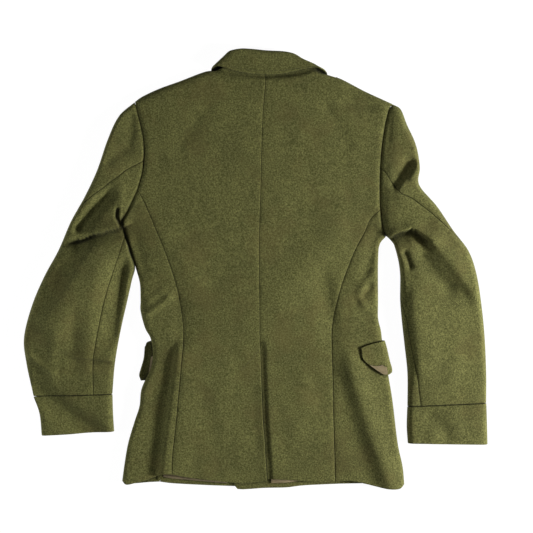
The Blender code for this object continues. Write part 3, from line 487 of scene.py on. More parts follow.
# Cuffs go on from the sleeve's last section: outer x, y, inner x, y
cuffs = {
    "rows": 34, "columns": 132, "height": 14.5, "swell": 1.5, "step": 0.4,
    "left": [(-398, -226, -259, -222), (-387, -257, -258, -257), (-383, -296, -256, -289)],
    "right": [(412, -238, 273, -244), (413, -271, 272, -280), (414, -312, 274, -310)],
}


def underarmRoom(tilt):
    return (cloth["wool"] / 2 + sleeves["underarmGap"]) * tilt ** sleeves["underarmPower"]


def sectionPoint(rows, across, power):      # plan points across sections, which bow towards the body
    outer, inner = rows[:, None, 0:2], rows[:, None, 2:4]
    chord = inner - outer
    side = unit(np.stack([-chord[..., 1], chord[..., 0]], axis=-1))
    side *= np.sign(side[..., :1])
    bow = rows[:, None, 4:5] * np.sin(np.pi * np.clip(across, 1e-9, 1 - 1e-9))[..., None] ** power
    return outer + across[..., None] * chord + side * bow


def armholePoints(side, places):
    sleeve = sleeves[side]
    first = np.array(sleeve["sections"][:1], float)
    return sectionPoint(first, np.asarray(places)[None], sleeve["bowPower"])[0]


def turnOf(share):      # the turn round the sleeve where the upper layer has this share across
    return np.sign(share) * np.arccos(1 - 2 * np.abs(share)) / (2 * np.pi)


def tubeNormals(rows, across, upper, rise, tilt):
    middle = (rows[:, 0:2] + rows[:, 2:4]) / 2
    level = np.where(across[..., None] < 0.5, outwardOf(rows[:, 0:2], middle)[:, None],
                     outwardOf(rows[:, 2:4], middle)[:, None])
    up = np.where(upper, 1, -1) * rise
    return unit(np.concatenate([level * tilt[..., None], up[..., None]], axis=-1))


def sleeveSurface(side, rows, turns):      # turns 0 to 0.5 run over the upper layer
    across = (1 - np.cos(2 * np.pi * turns)) / 2
    upper = np.sin(2 * np.pi * turns) >= -1e-9
    plan = sectionPoint(rows, across, sleeves[side]["bowPower"])
    width = np.linalg.norm(rows[:, 2:4] - rows[:, 0:2], axis=1)[:, None]
    rise, tilt = roundOff(np.minimum(across, 1 - across) * width, cloth["sleeveRound"])
    x, y = plan[..., 0], plan[..., 1]
    down = np.linspace(0, 1, len(rows))[:, None]
    own = relief(x, y)
    bodyTop = crownHeight(x, y) + own
    ownTop = rows[:, None, 7] + sleeves["swell"] * np.sin(np.pi * across) + own
    below = ramp(down / sleeves["capShare"])
    bottom = lowerHeight(x, y) + (cloth["wool"] / 2 - lowerHeight(x, y)) * below
    top = kept(bodyTop + (ownTop - bodyTop) * below, bottom)
    middle = cloth["foldHeight"]
    z = middle + np.where(upper, (top - middle) * rise, (bottom - middle) * rise)
    normals = tubeNormals(rows, across, upper, rise, tilt)
    return np.concatenate([plan, z[..., None]], axis=-1), normals, across, tilt


def makeSleeve(side, material):
    lines = smoothCurve(sleeves[side]["sections"], steps=20)
    places = np.linspace(0, len(lines) - 1, sleeves["rows"])
    rows = np.stack([np.interp(places, np.arange(len(lines)), column) for column in lines.T], axis=-1)
    first, last = turnOf(rows[:, 5]), turnOf(np.minimum(rows[:, 6], 1.0))
    made = []
    for name, begin, end, columns in ((f"sleeveUnder{side.title()}", first, last, sleeves["underColumns"]),
                                      (f"sleeveTop{side.title()}", last, first + 1, sleeves["topColumns"])):
        turns = begin[:, None] + (end - begin)[:, None] * np.linspace(0, 1, columns)[None]
        grid, normals, across, tilt = sleeveSurface(side, rows, turns)
        atOuter = np.where(across[0] < 0.5, tilt[0], 0)
        atInner = np.where(across[0] < 0.5, 0, tilt[0])
        gap = cloth["seamGap"] / 2
        grid = trimmed(grid, top=gap + sleeves["shoulderRoom"] * atOuter, bottom=gap, start=gap, end=gap)
        for row, part in enumerate(sleeves["underarmSteps"]):
            grid[row, :, :2] -= normals[row, :, :2] * underarmRoom(atInner)[:, None] * part
        made.append(makeWall(name, grid, normals, cloth["wool"], material))
    return made


def makeCuff(side, material):
    lines = smoothCurve(cuffs[side], steps=20)
    places = np.linspace(0, len(lines) - 1, cuffs["rows"])
    rows = np.stack([np.interp(places, np.arange(len(lines)), column) for column in lines.T], axis=-1)
    turns = np.linspace(0, 1, cuffs["columns"] + 1)[:-1][None]
    across = (1 - np.cos(2 * np.pi * turns)) / 2
    plan = rows[:, None, 0:2] + across[..., None] * (rows[:, None, 2:4] - rows[:, None, 0:2])
    width = np.linalg.norm(rows[:, 2:4] - rows[:, 0:2], axis=1)[:, None]
    rise, tilt = roundOff(np.minimum(across, 1 - across) * width, cloth["sleeveRound"])
    upper = np.sin(2 * np.pi * turns) >= 0
    x, y = plan[..., 0], plan[..., 1]
    swell = cuffs["swell"] * np.sin(np.pi * across)
    top = kept(cuffs["height"] + swell + cuffs["step"] + relief(x, y), cloth["cuff"] / 2)
    middle = cloth["foldHeight"]
    z = middle + np.where(upper, top - middle, cloth["cuff"] / 2 - middle) * rise
    grid = np.concatenate([plan, z[..., None]], axis=-1)
    normals = tubeNormals(rows, across, upper, rise, tilt)
    grid[0] += unit(grid[1] - grid[0]) * cloth["seamGap"]
    return makeWall(f"cuff{side.title()}", grid, normals, cloth["cuff"], material, ring=True)


# The body's panels. Lines run from the top down
body = {
    "columns": 64, "rows": 230, "hiddenColumns": 26, "hiddenRows": 90, "sideColumns": 30,
    "roundShare": 0.022, "roundRows": 14, "neckBlend": 0.04, "middle": (0.0, 100.0),
    "overlapEdge": 62.0, "overlapRamp": 30.0,
    "centreSeam": [
        (19, 369), (16, 323), (12, 269), (10, 204), (9, 155), (7, 87), (6, 35), (7, -91), (7, -133),
    ],
    "ventEdge": [(8, -142), (9, -178), (11, -234), (13, -277), (15, -298), (17, -333), (20, -372)],
    "ventTop": -136.0, "ventLift": 1.6, "ventRun": 120, "ventWidth": 16,
    "underlapSlope": 36.0, "underlapEdge": 3.5, "underlapWidth": 10, "underlapRun": 24,
    "neckCorner": [(92, 368), (113, 355)], "ventStitch": [(4, -144), (-26, -179)],
    "underlapShut": [0.0, 3.0, 6.0, 10.0, 14.0], "underlapOpen": [-38.0, -18.0, 3.0, 8.0, 14.0],
    "left": {
        "neck": [(19, 369), (-25, 371), (-50, 369), (-62, 362)],
        "shoulder": [
            (-62, 362), (-72, 357.5), (-86, 356.5), (-101, 352),
            (-137, 338), (-173, 325), (-203, 311), (-217, 301),
        ],
        "sideSeam": [
            (-211, 146), (-199, 120), (-183, 83), (-163, 35), (-142, -28), (-131, -91),
            (-130, -130), (-133, -167), (-138, -223), (-143, -277), (-149, -331), (-150, -365),
        ],
        "edge": [
            (-242, 85), (-235, 67), (-225, 36), (-213, -1), (-207, -25), (-206, -55), (-206, -73),
            (-198, -103), (-188, -122), (-184, -149), (-187, -174), (-204, -212), (-208, -244),
            (-217, -272), (-228, -309), (-234, -342), (-239, -378),
        ],
        "frontSeam": [
            (-211, 146), (-191, 98), (-173, 35), (-158, -55), (-151, -136), (-158, -235), (-173, -380),
        ],
        "hemBack": [(20, -377), (-20, -381), (-63, -378), (-106, -373), (-150, -365)],
        "hemSide": [(-150, -365), (-167, -365), (-194, -375), (-216, -381), (-232, -384), (-239, -378)],
        "hemUnder": [(-173, -380), (-194, -381), (-216, -383), (-232, -384), (-239, -378)],
        "hemFront": [(36, -387), (11, -389), (-40, -388), (-95, -386), (-150, -383), (-173, -380)],
        "frontEdge": [(-30, 321), (-8, 288), (18, 240), (34, 190), (36, 150), (36, -387)],
        "gorge": [(-62, 362), (-50, 342), (-30, 321)],
        "armholeSplit": {"upper": 0.7112, "lower": 0.6913},
        "liningSpan": (0.42, 0.975), "liningDrop": (0.993, 0.986),
    },
    "right": {
        "neck": [(19, 369), (60, 369), (92, 367), (106, 360)],
        "shoulder": [
            (106, 360), (114, 355), (124, 351), (140, 346), (155, 341), (193, 321), (221, 308), (245, 297),
        ],
        "sideSeam": [
            (221, 117), (206, 93), (194, 67), (177, 35), (153, -28), (138, -91),
            (136, -135), (138, -200), (139, -266), (141, -331), (142, -378),
        ],
        "edge": [
            (233, 63), (221, 47), (218, 17), (218, -55), (218, -86), (223, -108), (226, -131), (232, -160),
            (237, -192), (244, -235), (253, -309), (262, -352), (265, -384),
        ],
        "frontSeam": [(221, 117), (198, 80), (180, 35), (169, -55), (166, -136), (173, -235), (191, -383)],
        "hemBack": [(20, -374), (52, -375), (80, -377), (110, -379), (142, -378)],
        "hemSide": [
            (142, -378), (166, -377), (191, -381), (211, -386), (235, -391), (256, -391), (265, -384),
        ],
        "hemUnder": [(191, -383), (211, -387), (235, -391), (256, -391), (265, -384)],
        "hemFront": [
            (-39, -386), (-33, -393), (-14, -393), (14, -391), (55, -390), (82, -387), (146, -384),
            (191, -383),
        ],
        "frontEdge": [(72, 309), (46, 280), (2, 232), (-30, 178), (-36, 140), (-39, -386)],
        "gorge": [(106, 360), (96, 335), (72, 309)],
        "armholeSplit": {"upper": 0.8073, "lower": 0.6913},
        "liningSpan": (0.3, 0.86), "liningDrop": (0.989, 0.986),
    },
}


def joinLines(*lines):
    return np.vstack([lines[0]] + [line[1:] for line in lines[1:]])


def neckShareOf(neck, shoulder):
    lengths = [np.linalg.norm(np.diff(line, axis=0), axis=1).sum() for line in (neck, shoulder)]
    return lengths[0] / sum(lengths)


def outerLine(side, layer, points):      # down the armhole, then down the side seam
    armhole = armholePoints(side, np.linspace(0, body[side]["armholeSplit"][layer], 60))
    return joinLines(armhole, smoothCurve([tuple(armhole[-1])] + points[1:]))


def shoulderRound(grid, us, neckShare, layer):      # layer is 1 for the back and -1 for the front
    length = np.linalg.norm(grid[:, :, :2] - grid[:1, :, :2], axis=-1)
    rise, tilt = roundOff(length, cloth["shoulderRound"])
    weight = ramp((us - neckShare + body["neckBlend"] / 2) / body["neckBlend"])[None]
    seamHeight = cloth["foldHeight"] + layer * cloth["seamGap"] / 2
    z = grid[..., 2]
    grid[..., 2] = z + (seamHeight + (z - seamHeight) * rise - z) * weight
    level = outwardOf(grid[0, :, :2], np.array(body["middle"]))[None] * (tilt * weight)[..., None]
    up = layer * np.sqrt(np.maximum(1 - (level ** 2).sum(axis=-1), 0))
    return grid, np.concatenate([level, up[..., None]], axis=-1)


def topShares(count):      # close together over the shoulder's round
    close = body["roundShare"] * np.linspace(0, 1, body["roundRows"]) ** 2
    return np.unique(np.concatenate([np.linspace(0, 1, count), close]))


def ventPlace(y):
    line = smoothCurve(body["centreSeam"] + body["ventEdge"])[::-1]
    return np.interp(y, line[:, 1], line[:, 0])


def makeBack(side, material):
    own = body[side]
    neck, shoulder, hem = (smoothCurve(own[key]) for key in ("neck", "shoulder", "hemBack"))
    centre = smoothCurve(body["centreSeam"] + body["ventEdge"][:-1] + [tuple(hem[0])])
    us, vs = np.linspace(0, 1, body["columns"]), topShares(body["rows"])
    outer = outerLine(side, "upper", own["sideSeam"])
    plan = coonsPatch(joinLines(neck, shoulder), hem, centre, outer, us, vs)
    if side == "right":
        plan = addUnderlap(plan)
        us = np.linalg.norm(plan[0] - plan[0, :1], axis=-1)
        us = us / us[-1]
    x, y = plan[..., 0], plan[..., 1]
    z = upperHeight(x, y)
    if side == "right":
        near = 1 - ramp((x - ventPlace(y) - body["underlapEdge"]) / body["underlapWidth"])
        below = ramp((body["ventTop"] + body["underlapRun"] - y) / body["underlapRun"])
        z -= (cloth["wool"] + cloth["layerGap"]) * near * below
    else:
        below = ramp((body["ventTop"] - y) / body["ventRun"])
        z += body["ventLift"] * below * (1 - ramp((ventPlace(y) - x) / body["ventWidth"]))
    grid = np.concatenate([plan, z[..., None]], axis=-1)
    grid, normals = shoulderRound(grid, us, neckShareOf(neck, shoulder), 1)
    gap = cloth["seamGap"] / 2
    grid = trimmed(grid, top=gap, start=gap, end=gap)
    return makeWall(f"back{side.title()}", grid, normals, cloth["wool"], material)


def addUnderlap(plan):      # columns at the centre that reach under the left back below the vent's top
    knots, places = np.linspace(0, 1, 5), np.linspace(0, 1, 19)
    shut, opened = (np.interp(places, knots, body[key]) for key in ("underlapShut", "underlapOpen"))
    out = []
    for row in plan:
        x, y = row[0]
        share = ramp((body["ventTop"] - y) / body["underlapSlope"])
        lead = np.stack([x + (1 - share) * shut + share * opened, np.full(len(places), y)], axis=-1)
        run = np.concatenate([[0], np.cumsum(np.linalg.norm(np.diff(row, axis=0), axis=1))])
        rest = np.linspace(shut[-1] + 2.5, run[-1], len(row) - 4)
        out.append(np.vstack([lead, np.stack([np.interp(rest, run, row[:, k]) for k in (0, 1)], axis=-1)]))
    return np.array(out)


def sideHalf(side, layer):      # out to the side fold
    own = body[side]
    armhole = armholePoints(side, np.linspace(own["armholeSplit"][layer], 1, 60))
    seamName, hemName = ("sideSeam", "hemSide") if layer == "upper" else ("frontSeam", "hemUnder")
    seam = smoothCurve([tuple(armhole[0])] + own[seamName][1:])
    edge = smoothCurve([tuple(armhole[-1])] + own["edge"][1:])
    us = np.sin(0.5 * np.pi * np.linspace(0, 1, body["sideColumns"]))
    return coonsPatch(armhole, smoothCurve(own[hemName]), seam, edge, us, np.linspace(0, 1, body["rows"]))


def makeSide(side, material):
    upper = sideHalf(side, "upper")
    lower = sideHalf(side, "lower")[:, ::-1][:, 1:]
    plan = np.concatenate([upper, lower], axis=1)
    isUpper = np.arange(plan.shape[1]) < upper.shape[1]
    atEdge = plan[:, upper.shape[1] - 1]
    rise, tilt = roundOff(np.linalg.norm(plan - atEdge[:, None], axis=-1), cloth["sideRound"])
    x, y = plan[..., 0], plan[..., 1]
    middle = cloth["foldHeight"]
    z = middle + (np.where(isUpper, upperHeight(x, y), lowerHeight(x, y)) - middle) * rise
    grid = np.concatenate([plan, z[..., None]], axis=-1)
    out = outwardOf(atEdge, np.array([0.0, 0.0]))
    sign = np.where(isUpper, 1, -1)[None]
    normals = unit(np.concatenate([out[:, None] * tilt[..., None], (sign * rise)[..., None]], axis=-1))
    gap = cloth["seamGap"] / 2
    grid = trimmed(grid, top=gap, start=gap, end=gap)
    for row, part in enumerate(sleeves["underarmSteps"]):
        grid[row, :, :2] -= out[0][None] * underarmRoom(tilt[0])[:, None] * part
    return makeWall(f"side{side.title()}", grid, normals, cloth["wool"], material)


def frontGrid(side, us, vs):
    own = body[side]
    gorge = smoothCurve(own["gorge"][::-1])
    shoulder, hem, edge = (smoothCurve(own[key]) for key in ("shoulder", "hemFront", "frontEdge"))
    outer = outerLine(side, "lower", own["frontSeam"])
    plan = coonsPatch(joinLines(gorge, shoulder), hem, edge, outer, us, vs)
    z = lowerHeight(plan[..., 0], plan[..., 1])
    if side == "right":      # lies on the left front
        lap = 1 - ramp((plan[..., 0] - body["overlapEdge"]) / body["overlapRamp"])
        z = z + (cloth["wool"] + cloth["layerGap"]) * lap
    return np.concatenate([plan, z[..., None]], axis=-1), neckShareOf(gorge, shoulder)


def makeFront(side, material):
    us, vs = np.linspace(0, 1, body["hiddenColumns"]), topShares(body["hiddenRows"])
    grid, neckShare = frontGrid(side, us, vs)
    grid, normals = shoulderRound(grid, us, neckShare, -1)
    gap = cloth["seamGap"] / 2
    grid = trimmed(grid, top=gap, end=gap)
    return makeWall(f"front{side.title()}", grid, normals, cloth["wool"], material)


def upright(grid):
    return np.broadcast_to(np.array([0.0, 0.0, 1.0]), grid.shape).copy()


def makeFrontLining(side, material):
    us, shares = np.linspace(*body[side]["liningSpan"], 60), np.linspace(0, 1, 10)
    ends = np.interp(us, body[side]["liningSpan"], body[side]["liningDrop"])
    above, step, count, top = 0.94, 0.001, 61, 0.955      # shares of the way down to the hem
    fine, _ = frontGrid(side, us, np.linspace(above, 1.0, count))
    places = (top + (ends - top) * shares[:, None] - above) / step
    grid = np.stack([[np.interp(places[:, j], np.arange(count), fine[:, j, k]) for j in range(len(us))]
                     for k in range(3)], axis=-1).transpose(1, 0, 2)
    grid[..., 2] += cloth["wool"] / 2 + 2 * cloth["seamGap"] + cloth["lining"] / 2
    return makeWall(f"frontLining{side.title()}", grid, upright(grid), cloth["lining"], material)


# Seam turnings, pressed flat: where each runs, as y or as shares of its seam
turnings = {
    "halfWidth": 5.0, "columns": 9, "gap": 0.3, "sunk": 1.5,
    "underarm": {"y": (84, 10), "inset": 1.6, "halfWidth": 2.2, "height": 0.45, "thickness": 0.7},
    "centre": (362, -100), "armhole": (0.014, 0.93), "armholeSunk": 0.06,
    "cuff": (0.022, 0.978), "cuffSunk": 0.08, "side": (0.05, 0.985), "front": (0.85, 0.994),
}


def makeAllowance(name, line, material, under=True, level=None, sunk=None):
    steps = unit(np.gradient(line, axis=0))
    square = np.stack([-steps[:, 1], steps[:, 0]], axis=-1)
    half = turnings["halfWidth"]
    plan = line[:, None] + square[:, None] * np.linspace(-half, half, turnings["columns"])[None, :, None]
    x, y = plan[..., 0], plan[..., 1]
    apart = (cloth["wool"] + cloth["allowance"]) / 2 + turnings["gap"]
    top = upperHeight(x, y) if level is None else kept(level + relief(x, y), cloth["wool"] / 2)
    z = top - apart if under else lowerHeight(x, y) + apart
    if sunk is not None:
        z -= (z - cloth["foldHeight"] + turnings["sunk"]) * sunk[:, None]
    grid = np.concatenate([plan, z[..., None]], axis=-1)
    return makeWall(name, grid, upright(grid), cloth["allowance"], material)


def makeUnderarm(material):
    own = turnings["underarm"]
    edge = smoothCurve(body["left"]["edge"])
    edge = along(edge[(edge[:, 1] < own["y"][0]) & (edge[:, 1] > own["y"][1])], np.linspace(0, 1, 60))
    edge = edge - np.array([own["inset"], 0.0])
    across = np.linspace(-own["halfWidth"], own["halfWidth"], 5)
    plan = edge[:, None] + np.array([1.0, 0.0]) * across[:, None]
    grid = np.concatenate([plan, np.full((60, 5, 1), own["height"])], axis=-1)
    return makeWall("underarmTurnings", grid, upright(grid), own["thickness"], material)


def makeAllowances(material):
    made = {"underarm": makeUnderarm(material)}
    centre = smoothCurve(body["centreSeam"])
    highest, lowest = turnings["centre"]
    centre = centre[(centre[:, 1] < highest) & (centre[:, 1] > lowest)]
    made["centre"] = makeAllowance("centreTurnings", along(centre, np.linspace(0, 1, 200)), material)
    line = along(np.array(body["neckCorner"], float), np.linspace(0, 1, 30))
    made["neck"] = makeAllowance("neckTurnings", line, material, sunk=np.ones(30))
    for side in ("left", "right"):
        places = np.linspace(*turnings["armhole"], 160)
        line = armholePoints(side, places)
        sunk = 1 - ramp(places / turnings["armholeSunk"])
        made[side + " armhole"] = makeAllowance(f"armholeTurnings{side.title()}", line, material, sunk=sunk)
        outer, inner = (np.array(point, float) for point in (cuffs[side][0][0:2], cuffs[side][0][2:4]))
        shares = np.linspace(*turnings["cuff"], 60)
        line = outer + shares[:, None] * (inner - outer)
        sunk = 1 - ramp(np.minimum(shares, 1 - shares) / turnings["cuffSunk"])
        made[side + " cuff"] = makeAllowance(f"cuffTurnings{side.title()}", line, material,
                                             level=cuffs["height"], sunk=sunk)
        line = along(smoothCurve(body[side]["sideSeam"]), np.linspace(*turnings["side"], 200))
        made[side] = makeAllowance(f"sideTurnings{side.title()}", line, material)
        line = along(smoothCurve(body[side]["frontSeam"]), np.linspace(*turnings["front"], 60))
        made[side + " front"] = makeAllowance(f"frontTurnings{side.title()}", line, material, under=False)
    return made


# Collar, a row for each section from one front end round the neck to the other:
# fall edge x, y, roll x, y, stand edge x, y, and side: 1 is the back's, -1 the front's
collar = {
    "rowSteps": 12, "middle": 8.5, "fallRise": 11.6, "standRise": 3.5, "rollRise": 5.6,
    "rollInset": 2.0, "standInset": 4.2, "neckMiddle": (20.0, 340.0),
    "sections": [
        (-62, 312, -14, 342, -28, 324, -1.0),
        (-76, 338, -32, 364, -47, 345, -1.0),
        (-80, 351, -44, 379, -53, 357, -0.96),
        (-80.5, 359.5, -48, 386, -56, 363, -0.75),
        (-78.5, 363, -49, 389, -57, 366.5, 0.0),
        (-74, 365, -45, 393, -55, 370, 0.75),
        (-60, 363.5, -26, 396, -47, 371.5, 1.0),
        (-40, 357, -4, 395, -26, 372.6, 1.0),
        (-10, 352, 15, 393, -2, 372.0, 1.0),
        (19, 350, 32, 392, 22, 370.4, 1.0),
        (43, 351, 50, 391, 44, 370.6, 1.0),
        (65, 355, 68, 387, 66, 370.4, 1.0),
        (87, 360, 83, 378, 84, 369.4, 1.0),
        (106, 362.5, 97, 371.5, 98, 367.0, 0.95),
        (118, 360.5, 104, 368, 103, 364.5, 0.75),
        (126, 355.5, 109, 364, 105, 361.5, 0.0),
        (128, 351, 107, 360, 103, 356, -0.75),
        (124, 341, 98, 356, 100, 348, -0.96),
        (116, 326, 80, 348, 92.5, 337.5, -1.0),
        (92, 294, 56, 327, 69.5, 313, -1.0),
    ],
}


def makeCollar(material):
    columns = [("fall", 0.0), ("fall", 0.33), ("fall", 0.66), ("fall", 0.93), ("roll", 0.0),
               ("stand", 0.08), ("stand", 0.4), ("stand", 0.7), ("stand", 1.0)]
    rows = smoothCurve(collar["sections"], steps=collar["rowSteps"])
    side = np.clip(rows[:, 6], -1, 1)
    fall, roll, stand = rows[:, 0:2], rows[:, 2:4], rows[:, 4:6]
    inset = np.sqrt(np.maximum(1 - side ** 2, 0))
    towards = unit(np.array(collar["neckMiddle"]) - fall)
    lines = []
    for kind, share in columns:
        if kind == "fall":
            plan, rise, depth = fall + (roll - fall) * share, collar["fallRise"], 0.0
        elif kind == "roll":
            plan, rise, depth = roll, collar["rollRise"], collar["rollInset"]
        else:
            plan, rise = roll + (stand - roll) * share, collar["standRise"]
            depth = collar["standInset"] * (1 - share)
        plan = plan + towards * (depth * inset)[:, None]
        lines.append(np.concatenate([plan, (collar["middle"] + side * rise)[:, None]], axis=1))
    grid = np.array([smoothCurve(section, steps=5) for section in np.array(lines).transpose(1, 0, 2)])
    return makeWall("collar", grid, surfaceNormals(grid), cloth["collar"], material)


# Hip pocket flaps
flaps = {
    "tipLift": 2.6, "tipFrom": 0.88, "tipShare": 0.12, "foldRoom": 3, "clear": 0.5,
    "left": {
        "liningAcross": (0.80, 0.835), "liningDown": (0.40, 0.97),
        "top": [(-100, -122), (-186, -126), (-200, -137)],
        "bottom": [(-100, -190), (-190, -197), (-207, -198)],
        "tip": [(-200, -137), (-202, -158), (-207, -176), (-210, -188), (-207, -198)],
    },
    "right": {
        "top": [(188, -138), (208, -131), (230, -126)],
        "back": [(188, -138), (190, -155), (194, -162)],
        "bottom": [(194, -162), (211, -176), (227, -187), (236, -187), (243, -183)],
        "tip": [(230, -126), (234, -140), (239, -162), (243, -176), (243, -183)],
        "underTop": [(124, -122), (180, -123), (230, -126)],
        "underBottom": [(124, -190), (190, -191), (243, -183)],
        "liningTop": [(0.22, 0.95), (0.74, 0.68), (0.84, 0.76)],      # a corner turned up, so it tapers
        "liningBottom": 0.97, "liningSearch": 0.55,
    },
}


def makeFlapLeft(material, lining):
    own = flaps["left"]
    top, bottom, end = (smoothCurve(own[key]) for key in ("top", "bottom", "tip"))
    start = smoothCurve([own["top"][0], own["bottom"][0]])

    def surface(us, vs, raised):
        plan = coonsPatch(top, bottom, start, end, us, vs)
        tip = ramp((us - flaps["tipFrom"]) / flaps["tipShare"])[None]
        z = cloth["flap"] / 2 + flaps["tipLift"] * tip * np.ones((len(vs), 1)) + raised
        return np.concatenate([plan, z[..., None]], axis=-1)

    grid = surface(1 - (1 - np.linspace(0, 1, 40)) ** 1.5, np.linspace(0, 1, 34), 0)
    flap = makeWall("flapLeft", grid, upright(grid), cloth["flap"], material)
    strip = surface(np.linspace(*own["liningAcross"], 6), np.linspace(*own["liningDown"], 20),
                    cloth["flap"] / 2 + cloth["seamGap"] + cloth["lining"] / 2)
    return flap, makeWall("flapLiningLeft", strip, upright(strip), cloth["lining"], lining)


def flapRightSurface(us, vs, raised):      # us 0 to 1 over the side, 1 to 2 beneath it
    own = flaps["right"]
    tip = smoothCurve(own["tip"])
    over = coonsPatch(smoothCurve(own["top"]), smoothCurve(own["bottom"]), smoothCurve(own["back"]), tip,
                      np.minimum(us, 1), vs)
    start = smoothCurve([own["underTop"][0], own["underBottom"][0]])
    beneath = coonsPatch(smoothCurve(own["underTop"]), smoothCurve(own["underBottom"]), start, tip,
                         np.clip(2 - us, 0, 1), vs)
    isUpper = (us <= 1)[None] & np.ones((len(vs), 1), bool)
    plan = np.where(isUpper[..., None], over, beneath)
    atTip = along(tip, vs)
    inFrom = np.linalg.norm(plan - atTip[:, None], axis=-1)
    rise, tilt = roundOff(inFrom, cloth["sideRound"] + flaps["foldRoom"])
    apart = (cloth["wool"] + cloth["flap"]) / 2
    top = upperHeight(plan[..., 0], plan[..., 1]) + apart + cloth["layerGap"] + flaps["clear"]
    z = cloth["foldHeight"] + (np.where(isUpper, top, cloth["flap"] / 2) - cloth["foldHeight"]) * rise
    out = outwardOf(atTip, np.array([0.0, -150.0]))
    sign = np.where(isUpper, 1, -1)
    normals = unit(np.concatenate([out[:, None] * tilt[..., None], (sign * rise)[..., None]], axis=-1))
    return np.concatenate([plan, z[..., None]], axis=-1) + normals * raised, normals


def makeFlapRight(material, lining):
    out = np.sin(0.5 * np.pi * np.linspace(0, 1, 30))
    grid, normals = flapRightSurface(np.concatenate([out, (2 - out)[::-1][1:]]), np.linspace(0, 1, 30), 0)
    flap = makeWall("flapRight", grid, normals, cloth["flap"], material)
    raised = cloth["flap"] / 2 + cloth["seamGap"] + cloth["lining"] / 2
    across, downs = zip(*flaps["right"]["liningTop"])
    lowest = flaps["right"]["liningBottom"]
    us = np.linspace(across[0], across[-1], 24)
    fine = np.linspace(flaps["right"]["liningSearch"], lowest, 43)
    tops = np.interp(us, across, downs)
    surface, tilts = flapRightSurface(us, fine, raised)
    rows = tops + (lowest - tops) * np.linspace(0, 1, 12)[:, None]
    strip, normals = (np.stack([[np.interp(rows[:, j], fine, part[:, j, k]) for j in range(len(us))]
                                for k in range(3)], axis=-1).transpose(1, 0, 2) for part in (surface, tilts))
    return flap, makeWall("flapLiningRight", strip, normals, cloth["lining"], lining)


# Shoulder straps: neck end x, y, arm end x, y, half width, point
straps = {
    "left": (-114, 326, -196, 289, 20, 9),
    "right": (127.5, 335.5, 213, 284, 19.5, 9),
}


def makeStrap(side, material):
    neckX, neckY, armX, armY, half, point = straps[side]
    neck, arm = np.array([neckX, neckY], float), np.array([armX, armY], float)
    length = np.linalg.norm(arm - neck)
    run = (arm - neck) / length
    square = np.array([-run[1], run[0]])
    across = np.linspace(-1, 1, 17)
    back = point * (0.7 * np.abs(across) + 0.3 * np.abs(across) ** 3)
    outline = np.array([[neck + run * (b + (length - b) * s) + square * half * a
                         for s in np.linspace(0, 1, 30)] for a, b in zip(across, back)])
    grid = np.concatenate([outline, np.full(outline.shape[:2] + (1,), cloth["flap"] / 2)], axis=-1)
    return makeWall(f"shoulderStrap{side.title()}", grid, upright(grid), cloth["flap"], material)


# Rows of stitches, laid along paths by Geometry Nodes

stitching = {
    "pitch": 3.2, "length": 2.3, "thickness": 0.42, "uneven": 0.12, "seed": 5, "sink": 0.2,
    "collarInset": 0.13, "flapAcross": (0.06, 0.97), "flapDown": (0.88, 0.9),
}


